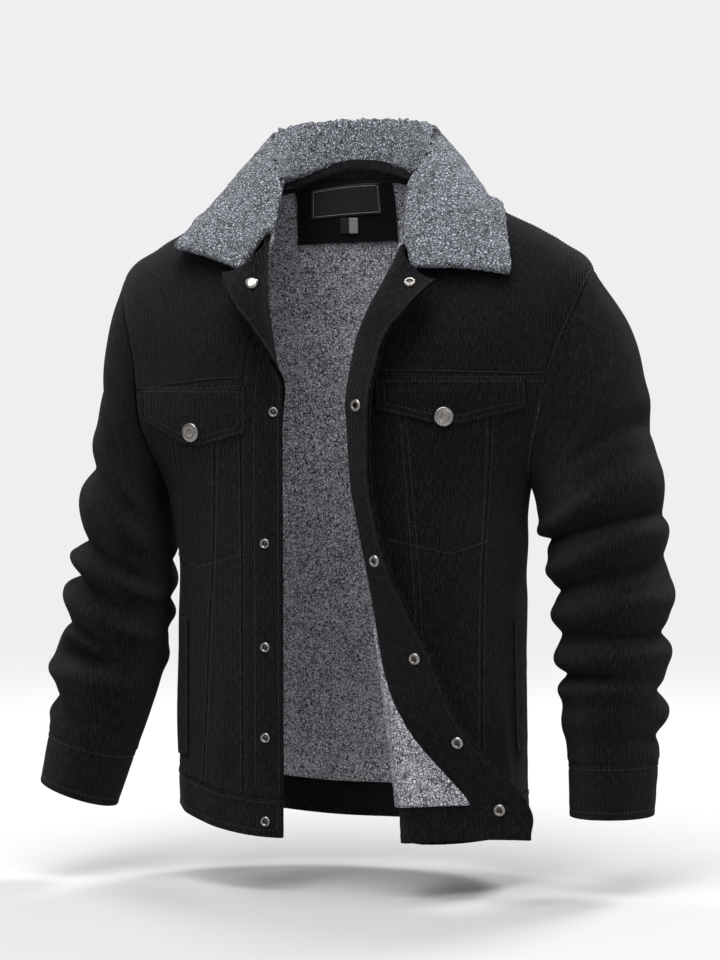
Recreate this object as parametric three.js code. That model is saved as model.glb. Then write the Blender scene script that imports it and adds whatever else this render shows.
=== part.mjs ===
// A sherpa lined corduroy trucker jacket, open at the front and filled out as if worn.
// Millimetres, +Z up, the wearer faces -Y and the wearer's left is +X.
// The origin is at the middle of the neck, where the shoulders carry the jacket.

import * as THREE from 'three';

// Cloth and seams
const shellThick = 2;
const liningThick = 5;
const seamGap = 0.5;
const layerGap = 1;
const lieGap = 0.5;
const collarThick = 8;
const bandProud = 1;
const bandDeep = 5;
const flapThick = 2.4;
const patchThick = 1.2;

// Cut widths, measured along the cloth from the front edge
const placketWidth = 42;
const facingWidth = 58;

// Rows of the body run up the jacket: 0 hem, 1 waist seam, 5 armpit, 8 shoulder tip, 12 neck
const hemRow = 0;
const waistRow = 1;
const armpitRow = 5;
const tipRow = 8;
const neckRow = 12;
const yokeSeamRow = 6.5;
const yokeNearZ = { left: -208, right: -216 };

function table(columns, lines) {
  const names = columns.split(' ');
  return lines.map((line) => Object.fromEntries(names.map((name, i) => [name, line[i]])));
}

// Side line, roll line and centre back of the body at each row
const bodyRows = {
  left: table('sideX sideZ rollX rollY rollZ', [
    [191, -677, 99, -106, -682],
    [190, -640, 97, -106, -644],
    [189, -560, 90, -108, -562],
    [188, -480, 84, -110, -480],
    [188, -400, 73, -113, -400],
    [194, -323, 58, -116, -326],
    [226, -240, 53, -118, -272],
    [250, -164, 50, -119, -236],
    [257, -103, 51, -119, -205],
    [222, -73, 55, -117, -170],
    [178, -50, 63, -113, -140],
    [128, -27, 70, -107, -112],
    [80, -6, 80, -97, -82],
  ]),
  right: table('sideX sideZ rollX rollY rollZ', [
    [-176, -657, -43, -112, -679],
    [-177, -620, -43, -112, -641],
    [-178, -548, -43, -113, -560],
    [-178, -472, -43, -114, -480],
    [-177, -396, -43, -115, -400],
    [-189, -327, -43, -116, -326],
    [-230, -256, -43, -117, -270],
    [-237, -184, -47, -118, -232],
    [-236, -109, -60, -118, -200],
    [-199, -78, -65, -116, -165],
    [-163, -57, -67, -112, -133],
    [-120, -34, -65, -106, -103],
    [-72, -7, -64, -97, -73],
  ]),
  back: table('midX midY midZ', [
    [7, 116, -686],
    [7, 116, -648],
    [6, 115, -565],
    [5, 114, -482],
    [5, 113, -402],
    [5, 113, -323],
    [6, 114, -248],
    [6, 113, -180],
    [5, 111, -130],
    [2, 108, -92],
    [-1, 104, -56],
    [-4, 96, -19],
    [-6, 85, 16],
  ]),
};

// How the front edge turns outwards at each row: its length, radius, angle and how far the edge drops
const edgeRolls = {
  left: table('length radius turn drop', [
    [158, 13, 176, 13],
    [156, 13, 176, 11],
    [107, 15, 171, 2],
    [90, 18, 162, 0],
    [68, 20, 152, 0],
    [62, 19, 150, 0],
    [62, 18, 152, 0],
    [63, 17, 154, 0],
    [58, 14, 156, 0],
    [55, 12, 159, -2],
    [61, 12, 160, -8],
    [54, 11, 163, -20],
    [42, 11, 166, -37],
  ]),
  right: table('length radius turn drop', [
    [0, 12, 90, 0],
    [0, 12, 90, 0],
    [0, 12, 90, 0],
    [0, 12, 90, 0],
    [0, 12, 90, 0],
    [0, 12, 90, 0],
    [0, 12, 90, 0],
    [6, 12, 90, 0],
    [23, 12, 110, 0],
    [37, 12, 150, -2],
    [51, 12, 158, -6],
    [50, 11, 163, -20],
    [47, 11, 166, -38],
  ]),
};

// X of the two slanting seams under each yoke, from the waist seam to the yoke seam
const slantSeams = {
  left: table('nearX farX', [
    [108, 156],
    [106, 156],
    [102, 156],
    [98, 156],
    [94, 157],
    [88, 161],
    [84, 166],
    [80, 168],
    [80, 168],
  ]),
  right: table('nearX farX', [
    [-134, -166],
    [-133, -166],
    [-128, -166],
    [-124, -166],
    [-119, -165],
    [-116, -163],
    [-113, -164],
    [-112, -166],
    [-112, -166],
  ]),
};

// How far the armhole reaches to the front and the back of the side line, in degrees
const armholeReach = { left: { front: 27, back: 24 }, right: { front: 29, back: 24 } };

// Soft drape folds of the body: which face, where, how wide, how they lean and how proud they stand
const bodyFolds = table('face angle z halfAngle halfHeight lean height', [
  ['left', 30, -600, 7, 70, 0.05, 4],
  ['left', 12, -560, 6, 90, -0.04, 3.5],
  ['left', 20, -350, 7, 60, 0.12, 4],
  ['right', 60, -600, 6, 70, 0.04, 3.5],
  ['right', 28, -590, 6, 80, -0.06, 4],
  ['right', 16, -345, 7, 55, -0.12, 5],
  ['back', 45, -590, 8, 80, 0.04, 4],
  ['back', 90, -600, 9, 90, -0.03, 3.5],
  ['back', 138, -580, 8, 85, -0.05, 4.5],
  ['back', 30, -330, 7, 80, 0.14, 5],
  ['back', 150, -335, 7, 80, -0.14, 5],
  ['back', 75, -150, 12, 25, 0.2, 2.5],
  ['back', 108, -155, 12, 25, -0.2, 2.5],
]);

// Sleeve rings from the armhole to the cuff seam: top point, under point, forward shift and half depth
const sleeveRings = {
  left: table('topX topZ underX underZ y depth', [
    [267, -106, 197, -331, 0, 52],
    [297, -160, 199, -340, 0, 60],
    [312, -226, 201, -353, 0, 66],
    [321, -282, 205, -368, -2, 69],
    [330, -333, 211, -388, -5, 69],
    [335, -384, 217, -416, -9, 66],
    [338, -439, 222, -446, -14, 63],
    [337, -490, 226, -492, -20, 59],
    [334, -540, 231, -542, -27, 54],
    [330, -600, 238, -603, -35, 47],
  ]),
  right: table('topX topZ underX underZ y depth', [
    [-236, -106, -188, -332, 0, 52],
    [-250, -148, -190, -343, 0, 60],
    [-259, -201, -190, -359, 0, 66],
    [-265, -264, -188, -376, -2, 69],
    [-274, -322, -187, -406, -5, 69],
    [-282, -375, -187, -437, -9, 66],
    [-289, -422, -188, -468, -14, 63],
    [-297, -475, -191, -500, -20, 59],
    [-305, -527, -200, -546, -27, 54],
    [-311, -583, -220, -606, -35, 47],
  ]),
};

// How far down the sleeve it follows the armhole, and where its creases fade in and out
const armholeBlend = 1.6;
const creaseFade = { top: 1.5, end: 0.5 };
const sleeveStartAt = 0.4;
const sleeveEndGap = 0.002;
const sharpLift = 1.5;
const leastTurn = 0.02;
const cuffWall = { start: 0.005, inner: -3.5, outer: -0.5 };

const cuffEnds = {
  left: { topX: 327, topZ: -654, underX: 240, underZ: -656, y: -42, depth: 41 },
  right: { topX: -319, topZ: -634, underX: -237, underZ: -660, y: -42, depth: 41 },
};

// Sleeve creases: place down the sleeve, angle from the top through the front, spread, slant and height
const sleeveCreases = {
  left: table('along angle halfLength halfAngle slant height', [
    [2.25, 45, 0.32, 60, -0.45, -5],
    [2.1, 10, 0.28, 40, 0, 3],
    [3.35, 90, 0.38, 100, -0.33, 6.5],
    [4.05, 90, 0.24, 100, -0.35, -6.5],
    [4.72, 90, 0.3, 100, 0.12, 6.5],
    [5.38, 85, 0.24, 100, 0.22, -6],
    [6.08, 85, 0.27, 105, 0.2, 7.5],
    [6.64, 75, 0.22, 110, 0, -5.5],
    [7.1, 90, 0.28, 110, 0.12, 6.5],
    [7.48, 140, 0.17, 65, 0, -6],
    [7.76, 95, 0.19, 88, 0, 6],
    [7.8, 0, 0.22, 42, 0, -5.5],
    [8.3, 120, 0.22, 60, 0.1, 4],
    [8.22, -12, 0.24, 40, 0, 5.5],
    [8.62, 25, 0.2, 60, 0, -4],
    [3.2, 255, 0.4, 60, 0.4, 6],
    [3.95, 265, 0.28, 70, 0.3, -6],
    [4.7, 265, 0.33, 70, 0.1, 7],
    [5.4, 260, 0.27, 70, -0.1, -6],
    [6.1, 265, 0.3, 70, -0.2, 7],
    [6.65, 270, 0.24, 70, 0, -6],
    [7.2, 265, 0.28, 70, -0.1, 6],
    [8.2, 270, 0.3, 62, -0.1, 5],
  ]),
  right: table('along angle halfLength halfAngle slant height', [
    [2.3, 40, 0.35, 60, 0.3, -4],
    [3.05, 75, 0.32, 62, -0.3, 5.5],
    [3.6, 20, 0.25, 60, -0.2, -5],
    [4.15, 55, 0.4, 95, -0.5, 7],
    [5.02, 40, 0.22, 80, -0.1, -6],
    [5.46, 65, 0.24, 90, -0.25, 7.5],
    [5.9, 30, 0.2, 80, 0, -6],
    [6.4, 55, 0.27, 90, 0.2, 7.5],
    [6.85, 30, 0.18, 70, 0.1, -5],
    [7.1, 70, 0.16, 48, 0.25, 5.5],
    [7.38, 66, 0.26, 50, 0, -9],
    [7.5, -15, 0.4, 45, 0, 6],
    [7.84, 62, 0.2, 62, 0, 8],
    [8.5, 60, 0.22, 68, 0.2, -5],
    [8.75, 60, 0.18, 60, 0.2, 4],
    [3.2, 255, 0.4, 60, -0.4, 6],
    [3.95, 260, 0.28, 70, -0.2, -6],
    [4.6, 265, 0.33, 70, -0.2, 7],
    [5.3, 265, 0.25, 70, 0, -6],
    [6.0, 265, 0.3, 70, 0.2, 7],
    [6.6, 270, 0.24, 70, 0.2, -6],
    [7.3, 265, 0.3, 70, 0.1, 7],
    [8.3, 270, 0.3, 60, 0.1, -5],
  ]),
};

// Collar stations from the centre back to the front end: fold line and outer edge
const collarStations = {
  left: table('place foldX foldY foldZ edgeX edgeY edgeZ', [
    [0, -7, 96, 62, -8, 114, 2],
    [0.22, 38, 90, 61, 55, 109, -7],
    [0.42, 76, 66, 51, 108, 84, -21],
    [0.58, 92, 26, 26, 143, 30, -32],
    [0.74, 96, -20, -6, 164, -20, -50],
    [0.88, 92, -64, -51, 177, -60, -81],
    [1, 91, -105, -100, 182, -82, -106],
  ]),
  right: table('place foldX foldY foldZ edgeX edgeY edgeZ', [
    [0, -7, 96, 62, -8, 114, 2],
    [0.22, -52, 89, 59, -70, 108, -9],
    [0.42, -85, 64, 48, -115, 80, -25],
    [0.58, -95, 24, 22, -140, 28, -38],
    [0.74, -94, -20, -7, -153, -20, -54],
    [0.88, -83, -65, -49, -160, -58, -70],
    [1, -88, -101, -101, -160, -80, -79],
  ]),
};
const collarBulge = 9;
const collarClear = 1.6;
const collarEndAngle = 88;
const collarSeam = { backShare: 0.5, below: 0.05, backLift: 0.6, frontLift: 9, liftOver: 0.16 };
const collarShape = {
  split: 0.38,
  frontFrom: 0.4,
  frontOver: 0.3,
  standBow: 0.24,
  seamOver: 0.2,
  foldOver: 1 / 3,
  endBulge: 0.4,
  bulgeOut: 0.6,
  bulgeUp: 0.8,
};
const shoulderStep = { row: 0.2, angle: 4, first: 2, below: 0.02 };

// Pocket flaps, in distance across the front in X and heights
const flaps = {
  left: {
    nearX: 56, farX: 198, topZ: -213, cornerZ: -243,
    pointZ: -262, nearZ: -245, snapX: 122, snapZ: -252,
  },
  right: {
    nearX: -80, farX: -198, topZ: -224, cornerZ: -258,
    pointZ: -285, nearZ: -269, snapX: -139, snapZ: -269,
  },
};

const welts = {
  left: { from: 20.5, to: 9.5, bottomZ: -594, topZ: -462 },
  right: { from: 36, to: 25, bottomZ: -602, topZ: -462 },
};

// Snaps down the front edges
const snaps = table('studZ studInset ringZ ringInset outside hollow inside', [
  [-663, 17, -640, 30, 1.6, 1.6, 5.6],
  [-578, 17, -573, 14, 0.6, 0.7, 5.6],
  [-486, 17, -490, 17, 0.6, 1.1, 5.6],
  [-381, 17, -394, 12, 0.6, 1.5, 5.6],
  [-248, 8, -241, 14.5, 0.6, 2.2, 4.7],
]);
const lapelSnaps = {
  left: { z: -123, inset: 19, hollow: 0.8, inside: 6.1 },
  right: { z: -122, inset: 26, inside: 6.1 },
};
const placketSnap = { radius: 5.5, height: 2.2, crown: 0.8 };
const ringSnap = { radius: 6.5, hole: 3, height: 2, lip: 0.8, crown: 0.85 };
const capSnap = { radius: 6.5, height: 2.2, crown: 0.8 };
const pocketSnap = { radius: 10, height: 2.6, crown: 0.8 };
const snapClear = 0.1;

// Neck patch, label and size tags on the lining at the back
const neckBand = { height: 18, from: 15, to: 165, off: 1.45 };
const patchOff = 2.9;
const patch = { midX: -18, width: 92, topZ: -8, bottomZ: -69, lean: 0.03 };
const label = { midX: -18, width: 64, topZ: -13, bottomZ: -43, lean: 0.05 };
const tags = [
  { name: 'size_tag_right', midX: -23, width: 9, topZ: -46, bottomZ: -63, lean: 0 },
  { name: 'size_tag_left', midX: -13, width: 9, topZ: -46, bottomZ: -63, lean: 0 },
];

// Grid counts
const counts = {
  placket: 5,
  facingRest: 2,
  centre: { left: 9, right: 3 },
  middle: 2,
  side: 3,
  lowerRows: 5,
  armRows: 8,
  topRows: 3,
  backColumns: 12,
  band: 48,
  bandRows: 2,
  sleeveRound: 16,
  sleeveRows: 36,
  cuffRows: 3,
  collarAlong: 24,
  collarAcross: 7,
  snapSides: 10,
  flap: [10, 3],
  welt: [3, 6],
  patch: [8, 4],
  label: [6, 2],
  tag: [2, 1],
  neckBand: [10, 1],
  halvings: 36,
};
const rowStep = 0.02;

// Least widths between the grid columns of a front
const columnRoom = { near: 12, side: 8, afterRoll: 3, rollEnd: 9, roll: 6, rollStart: 2 };

// Seam gaps in rows at the waist and the neck, in degrees at the armhole, and the waistband's shares
const waistTop = waistRow + 0.007;
const bandTop = waistRow - 0.006;
const neckTop = neckRow - 0.02;
const backEdgeTurn = 0.1;
const bandShares = { leftEnd: 0.4, rightStart: 0.7 };

const colours = {
  corduroy: [0x17181b, 0.9],
  lining: [0x8d9096, 0.95],
  patch: [0x101113, 0.8],
  label: [0x2b2d31, 0.7],
  steel: [0xb9b4b0, 0.3],
};

const group = new THREE.Group();

function addPiece(name, geometry, finish) {
  const [colour, roughness] = colours[finish];
  const metalness = finish === 'steel' ? 1 : 0;
  const material = new THREE.MeshStandardMaterial({ color: colour, roughness, metalness });
  const mesh = new THREE.Mesh(geometry, material);
  mesh.name = name;
  group.add(mesh);
}

const radians = Math.PI / 180;
const signOf = { left: 1, right: -1 };
const sides = ['left', 'right'];

function mix(a, b, t) {
  return a + (b - a) * t;
}

function smooth(t) {
  const c = Math.min(1, Math.max(0, t));
  return c * c * (3 - 2 * c);
}

function vec(x, y, z) {
  return new THREE.Vector3(x, y, z);
}

// A smooth value between the rows of a table
function between(rows, column, at) {
  const last = rows.length - 1;
  const clamped = Math.min(last, Math.max(0, at));
  const i = Math.min(last - 1, Math.floor(clamped));
  const t = clamped - i;
  const p1 = rows[i][column];
  const p2 = rows[i + 1][column];
  const m1 = i > 0 ? (p2 - rows[i - 1][column]) / 2 : p2 - p1;
  const m2 = i + 1 < last ? (rows[i + 2][column] - p1) / 2 : p2 - p1;
  const a = 2 * p1 - 2 * p2 + m1 + m2;
  const b = -3 * p1 + 3 * p2 - 2 * m1 - m2;
  return ((a * t + b) * t + m1) * t + p1;
}

function mixAt(values, at) {
  const i = Math.min(values.length - 2, Math.max(0, Math.floor(at)));
  return mix(values[i], values[i + 1], at - i);
}

function foldHeight(face, angle, z) {
  let height = 0;
  for (const fold of bodyFolds) {
    if (fold.face !== face) continue;
    const down = (z - fold.z) / fold.halfHeight;
    const across = (angle - fold.angle - fold.lean * (z - fold.z)) / fold.halfAngle;
    height += fold.height * Math.exp(-across * across - down * down);
  }
  return height;
}

// A point of a front's outer face: angle 0 at the side line, 90 at the roll line
function frontBody(side, angle, row) {
  const rows = bodyRows[side];
  const c = Math.cos(angle * radians);
  const s = Math.sin(angle * radians);
  const sideX = between(rows, 'sideX', row);
  const rollX = between(rows, 'rollX', row);
  const sideZ = between(rows, 'sideZ', row);
  const z = mix(sideZ, between(rows, 'rollZ', row), s * s);
  const out = foldHeight(side, angle, z) * Math.sin(2 * angle * radians);
  const forward = mix(s, angle / 90, straightness(row));
  const y = between(rows, 'rollY', row) * forward - out * s;
  return vec(mix(rollX, sideX, c) + out * c * signOf[side], y, z);
}

// The sections grow straighter towards the neck, whose sides run forward
function straightness(row) {
  return smooth((row - tipRow) / (neckRow - tipRow));
}

// The direction in which the cloth reaches the roll line, turned from straight across the front
function rollStartTurn(side, row) {
  const rows = bodyRows[side];
  const inward = Math.abs(between(rows, 'sideX', row)) - Math.abs(between(rows, 'rollX', row));
  const forward = (-between(rows, 'rollY', row) * straightness(row)) / (90 * radians);
  return Math.atan2(forward, inward);
}

// A point of the back's outer face: angle 0 at the wearer's left side line, 180 at the right
function backBody(angle, row) {
  const side = angle < 90 ? 'left' : 'right';
  const rows = bodyRows[side];
  const c = Math.abs(Math.cos(angle * radians));
  const s = Math.sin(angle * radians);
  const z = mix(between(rows, 'sideZ', row), between(bodyRows.back, 'midZ', row), s * s);
  const out = foldHeight('back', angle, z) * s;
  const x = mix(between(bodyRows.back, 'midX', row), between(rows, 'sideX', row), c);
  return vec(x + out * c * signOf[side], (between(bodyRows.back, 'midY', row) + out) * s, z);
}

// The point of the turned edge that is a given length past the roll line
function rolledEdge(side, past, row) {
  const rolls = edgeRolls[side];
  const length = between(rolls, 'length', row);
  const radius = between(rolls, 'radius', row);
  const firstTurn = rollStartTurn(side, row);
  const fullTurn = between(rolls, 'turn', row) * radians;
  const turn = Math.min(firstTurn + past / radius, fullTurn);
  const straight = Math.max(0, past - radius * (fullTurn - firstTurn));
  const inward = radius * (Math.sin(turn) - Math.sin(firstTurn)) + straight * Math.cos(fullTurn);
  const outward = radius * (Math.cos(firstTurn) - Math.cos(turn)) + straight * Math.sin(fullTurn);
  const start = frontBody(side, 90, row);
  const share = past / length;
  const drop = between(rolls, 'drop', row) * share * (2 - share);
  return vec(start.x - inward * signOf[side], start.y - outward, start.z + drop);
}

// Cloth length from the roll line towards the side line, at each angle
const lengthCache = new Map();
function lengthsAt(side, row) {
  const key = `${side}${row.toFixed(5)}`;
  if (!lengthCache.has(key)) {
    const steps = 60;
    const lengths = [0];
    let last = frontBody(side, 90, row);
    for (let i = 1; i <= steps; i++) {
      const next = frontBody(side, 90 * (1 - i / steps), row);
      lengths.push(lengths[i - 1] + next.distanceTo(last));
      last = next;
    }
    lengthCache.set(key, lengths);
  }
  return lengthCache.get(key);
}

function angleAtLength(side, length, row) {
  const lengths = lengthsAt(side, row);
  let i = lengths.findIndex((value) => value >= length);
  if (i < 0) i = lengths.length - 1;
  i = Math.max(1, i);
  const t = (length - lengths[i - 1]) / (lengths[i] - lengths[i - 1]);
  return 90 * (1 - (i - 1 + t) / (lengths.length - 1));
}

function rollLength(side, row) {
  return Math.max(0, between(edgeRolls[side], 'length', row));
}

// Distance from the front edge of a point at a given angle
function distanceAtAngle(side, angle, row) {
  const lengths = lengthsAt(side, row);
  return rollLength(side, row) + mixAt(lengths, (1 - angle / 90) * (lengths.length - 1));
}

// Distance from the front edge of a point at a given X
function distanceAtX(side, x, row) {
  const sideX = between(bodyRows[side], 'sideX', row);
  const rollX = between(bodyRows[side], 'rollX', row);
  const share = Math.min(0.999, Math.max(0, (x - rollX) / (sideX - rollX)));
  return distanceAtAngle(side, Math.acos(share) / radians, row);
}

// A point of a front's outer face by its distance from the front edge
function frontPoint(side, distance, row) {
  const roll = rollLength(side, row);
  if (distance < roll) return rolledEdge(side, roll - distance, row);
  return frontBody(side, angleAtLength(side, distance - roll, row), row);
}

function armholeAngle(side, face, row) {
  const t = (row - armpitRow) / (tipRow - armpitRow);
  if (t <= 0 || t >= 1) return 0;
  return armholeReach[side][face] * Math.sqrt(4 * t * (1 - t));
}

// Grid rows: even below the armpit, closer together at both ends of the armhole, even above it
function armRow(j, count) {
  return mix(armpitRow, tipRow, (1 - Math.cos((Math.PI * j) / count)) / 2);
}

function rowList(count) {
  const list = [];
  for (let i = 0; i < count.lower; i++) list.push(mix(waistRow, armpitRow, i / count.lower));
  for (let i = 0; i < count.arm; i++) list.push(armRow(i, count.arm));
  for (let i = 0; i <= count.top; i++) list.push(mix(tipRow, neckRow, i / count.top));
  return list;
}

const gridRows = rowList({ lower: counts.lowerRows, arm: counts.armRows, top: counts.topRows });

// A closed wall between two offsets of a surface
function clothWall(pointAt, innerOffset, outerOffset, columns, rows, normalAt) {
  const positions = [];
  const faces = [];
  const step = 1e-3;
  function surfaceNormal(u, v) {
    const u0 = Math.max(0, u - step);
    const u1 = Math.min(1, u + step);
    const v0 = Math.max(0, v - step);
    const v1 = Math.min(1, v + step);
    const du = pointAt(u1, v).sub(pointAt(u0, v));
    const dv = pointAt(u, v1).sub(pointAt(u, v0));
    return du.cross(dv).normalize();
  }
  const rim = (columns + 1) * (rows + 1);
  for (const offset of [outerOffset, innerOffset]) {
    for (let j = 0; j <= rows; j++) {
      for (let i = 0; i <= columns; i++) {
        const u = i / columns;
        const v = j / rows;
        const point = pointAt(u, v);
        const normal = normalAt ? normalAt(u, v, surfaceNormal) : surfaceNormal(u, v);
        point.addScaledVector(normal, offset);
        positions.push(point.x, point.y, point.z);
      }
    }
  }
  const at = (i, j) => j * (columns + 1) + i;
  function quad(a, b, c, d) {
    faces.push(a, b, c, a, c, d);
  }
  for (let j = 0; j < rows; j++) {
    for (let i = 0; i < columns; i++) {
      const [a, b, c, d] = [at(i, j), at(i + 1, j), at(i + 1, j + 1), at(i, j + 1)];
      quad(a, b, c, d);
      quad(rim + a, rim + d, rim + c, rim + b);
    }
  }
  for (let i = 0; i < columns; i++) {
    quad(at(i, 0), rim + at(i, 0), rim + at(i + 1, 0), at(i + 1, 0));
    quad(at(i, rows), at(i + 1, rows), rim + at(i + 1, rows), rim + at(i, rows));
  }
  for (let j = 0; j < rows; j++) {
    quad(at(0, j), at(0, j + 1), rim + at(0, j + 1), rim + at(0, j));
    quad(at(columns, j), rim + at(columns, j), rim + at(columns, j + 1), at(columns, j + 1));
  }
  return closedGeometry(positions, faces);
}

// A closed tube wall, with u going once round
function tubeWall(pointAt, innerOffset, outerOffset, around, rows, normalAt) {
  const positions = [];
  const faces = [];
  const step = 1e-3;
  function surfaceNormal(u, v) {
    const v0 = Math.max(0, v - step);
    const v1 = Math.min(1, v + step);
    const du = pointAt(u + step, v).sub(pointAt(u - step, v));
    const dv = pointAt(u, v1).sub(pointAt(u, v0));
    return du.cross(dv).normalize();
  }
  const rim = around * (rows + 1);
  for (const offset of [outerOffset, innerOffset]) {
    for (let j = 0; j <= rows; j++) {
      for (let i = 0; i < around; i++) {
        const u = i / around;
        const v = j / rows;
        const point = pointAt(u, v);
        const normal = normalAt ? normalAt(u, v, surfaceNormal) : surfaceNormal(u, v);
        point.addScaledVector(normal, offset);
        positions.push(point.x, point.y, point.z);
      }
    }
  }
  const at = (i, j) => j * around + (i % around);
  function quad(a, b, c, d) {
    faces.push(a, b, c, a, c, d);
  }
  for (let i = 0; i < around; i++) {
    for (let j = 0; j < rows; j++) {
      const [a, b, c, d] = [at(i, j), at(i + 1, j), at(i + 1, j + 1), at(i, j + 1)];
      quad(a, b, c, d);
      quad(rim + a, rim + d, rim + c, rim + b);
    }
    quad(at(i, 0), rim + at(i, 0), rim + at(i + 1, 0), at(i + 1, 0));
    quad(at(i, rows), at(i + 1, rows), rim + at(i + 1, rows), rim + at(i, rows));
  }
  return closedGeometry(positions, faces);
}

// Turns the faces round where the volume comes out negative
function closedGeometry(positions, faces) {
  let volume = 0;
  const corner = (k) => vec(positions[3 * k], positions[3 * k + 1], positions[3 * k + 2]);
  for (let i = 0; i < faces.length; i += 3) {
    volume += corner(faces[i]).dot(corner(faces[i + 1]).cross(corner(faces[i + 2])));
  }
  if (volume < 0) {
    for (let i = 0; i < faces.length; i += 3) {
      const held = faces[i + 1];
      faces[i + 1] = faces[i + 2];
      faces[i + 2] = held;
    }
  }
  const geometry = new THREE.BufferGeometry();
  geometry.setAttribute('position', new THREE.Float32BufferAttribute(positions, 3));
  geometry.setIndex(faces);
  geometry.computeVertexNormals();
  return geometry;
}

// Distance from the front edge of a slanting seam at one row
function slantDistance(side, column, row) {
  const seamRow = Math.min(row, tipRow);
  const roll = rollLength(side, seamRow);
  const whole = distanceAtAngle(side, 0, seamRow) - roll;
  const share = (distanceAtX(side, between(slantSeams[side], column, seamRow), seamRow) - roll) / whole;
  return mix(rollLength(side, row), distanceAtAngle(side, 0, row), share);
}

// The grid columns of a front at one row, as distances from its front edge
function frontColumns(side, row) {
  const near = Math.max(slantDistance(side, 'nearX', row), facingWidth + columnRoom.near);
  const end = distanceAtAngle(side, armholeAngle(side, 'front', row), row);
  const far = Math.min(slantDistance(side, 'farX', row), end - columnRoom.side);
  const roll = rollLength(side, row);
  const turned = between(edgeRolls[side], 'turn', row) * radians - rollStartTurn(side, row);
  const arc = between(edgeRolls[side], 'radius', row) * turned;
  const rollEnd = Math.min(near - columnRoom.afterRoll, Math.max(facingWidth + columnRoom.rollEnd, roll));
  const firstStart = Math.max(facingWidth + columnRoom.rollStart, roll - arc);
  const rollStart = Math.min(rollEnd - columnRoom.roll, firstStart);
  const centreStops = {
    left: [[facingWidth, rollStart, 2], [rollStart, rollEnd, counts.centre.left - 3], [rollEnd, near, 1]],
    right: [[facingWidth, near, counts.centre.right]],
  };
  const stops = [
    [0, placketWidth, counts.placket],
    [placketWidth, facingWidth, counts.facingRest],
    ...centreStops[side],
    [near, far, counts.middle],
    [far, end, counts.side],
  ];
  const list = [0];
  for (const [from, to, count] of stops) {
    for (let i = 1; i <= count; i++) list.push(mix(from, to, i / count));
  }
  return list;
}

const columnIndex = {};
for (const side of sides) {
  const facing = counts.placket + counts.facingRest;
  const near = facing + counts.centre[side];
  const far = near + counts.middle;
  columnIndex[side] = { edge: 0, placket: counts.placket, facing, near, far, side: far + counts.side };
}

// The row at which a function of the row reaches a height, found by halving the range of rows
function rowAtHeight(pointAt, z, lowest) {
  let low = lowest;
  let high = neckRow;
  for (let i = 0; i < counts.halvings; i++) {
    const row = (low + high) / 2;
    if (pointAt(row).z < z) low = row;
    else high = row;
  }
  return (low + high) / 2;
}

// A piece of a front between two grid columns and two row curves
function frontPiece(side, columns, rowAt, offsets, countRows) {
  const [from, to] = columns;
  const inset = seamGap / 2;
  const pointAt = (u, v) => {
    const column = mix(from, to, u);
    const row = rowAt(column, v);
    const list = frontColumns(side, row);
    const [start, end] = [list[from], list[to]];
    const share = (mixAt(list, column) - start) / (end - start);
    return frontPoint(side, mix(from > 0 ? start + inset : start, end - inset, share), row);
  };
  const [inner, outer] = offsets.map((offset) => offset * signOf[side]);
  return clothWall(pointAt, inner, outer, to - from, countRows);
}

// Row curves of the fronts: the waist seam, the yoke seam and the top, each a seam gap apart
const yokeRowCache = {};
function yokeRow(side, column, lift) {
  const key = `${side}${column.toFixed(4)}${lift}`;
  if (!(key in yokeRowCache)) {
    const farZ = frontBody(side, armholeAngle(side, 'front', yokeSeamRow), yokeSeamRow).z;
    const share = smooth((column - counts.placket) / (columnIndex[side].side - counts.placket));
    const pointAt = (row) => frontPoint(side, mixAt(frontColumns(side, row), column), row);
    yokeRowCache[key] = rowAtHeight(pointAt, mix(yokeNearZ[side], farZ, share) + lift, waistRow);
  }
  return yokeRowCache[key];
}

// Rows that the pieces of a front share, so that each one meets its neighbour point to point
const lowerArm = counts.armRows / 2;
const lowerCount = counts.lowerRows + lowerArm;
const yokeCount = counts.armRows - lowerArm + counts.topRows;

function sidePull(side, column) {
  const { near, side: end } = columnIndex[side];
  return smooth((column - near) / (end - near));
}

function lowerRow(side, column, v) {
  const top = yokeRow(side, column, -seamGap / 2);
  const at = v * lowerCount;
  const plain = mix(waistTop, top, v);
  const below = mix(waistTop, armpitRow, at / counts.lowerRows);
  const seamShift = (top - yokeSeamRow) * smooth(at - lowerCount + 1);
  const arm = armRow(at - counts.lowerRows, counts.armRows) + seamShift;
  return mix(plain, at < counts.lowerRows ? below : arm, sidePull(side, column));
}

function upperRow(side, column, v) {
  const bottom = yokeRow(side, column, seamGap / 2);
  const at = v * yokeCount;
  const plain = mix(bottom, neckTop, v);
  const arm = armRow(at + lowerArm, counts.armRows) + (bottom - yokeSeamRow) * smooth(1 - at);
  const above = mix(tipRow, neckTop, (at - (yokeCount - counts.topRows)) / counts.topRows);
  return mix(plain, at < yokeCount - counts.topRows ? arm : above, sidePull(side, column));
}

function fullRow(side, column, v) {
  const share = lowerCount / (lowerCount + yokeCount);
  if (v < share) return lowerRow(side, column, v / share);
  return upperRow(side, column, (v - share) / (1 - share));
}

const shellOffsets = [-shellThick, 0];
const facingOffsets = [-2 * shellThick - layerGap, -shellThick - layerGap];
const liningOffsets = [-shellThick - layerGap - liningThick, -shellThick - layerGap];

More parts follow.
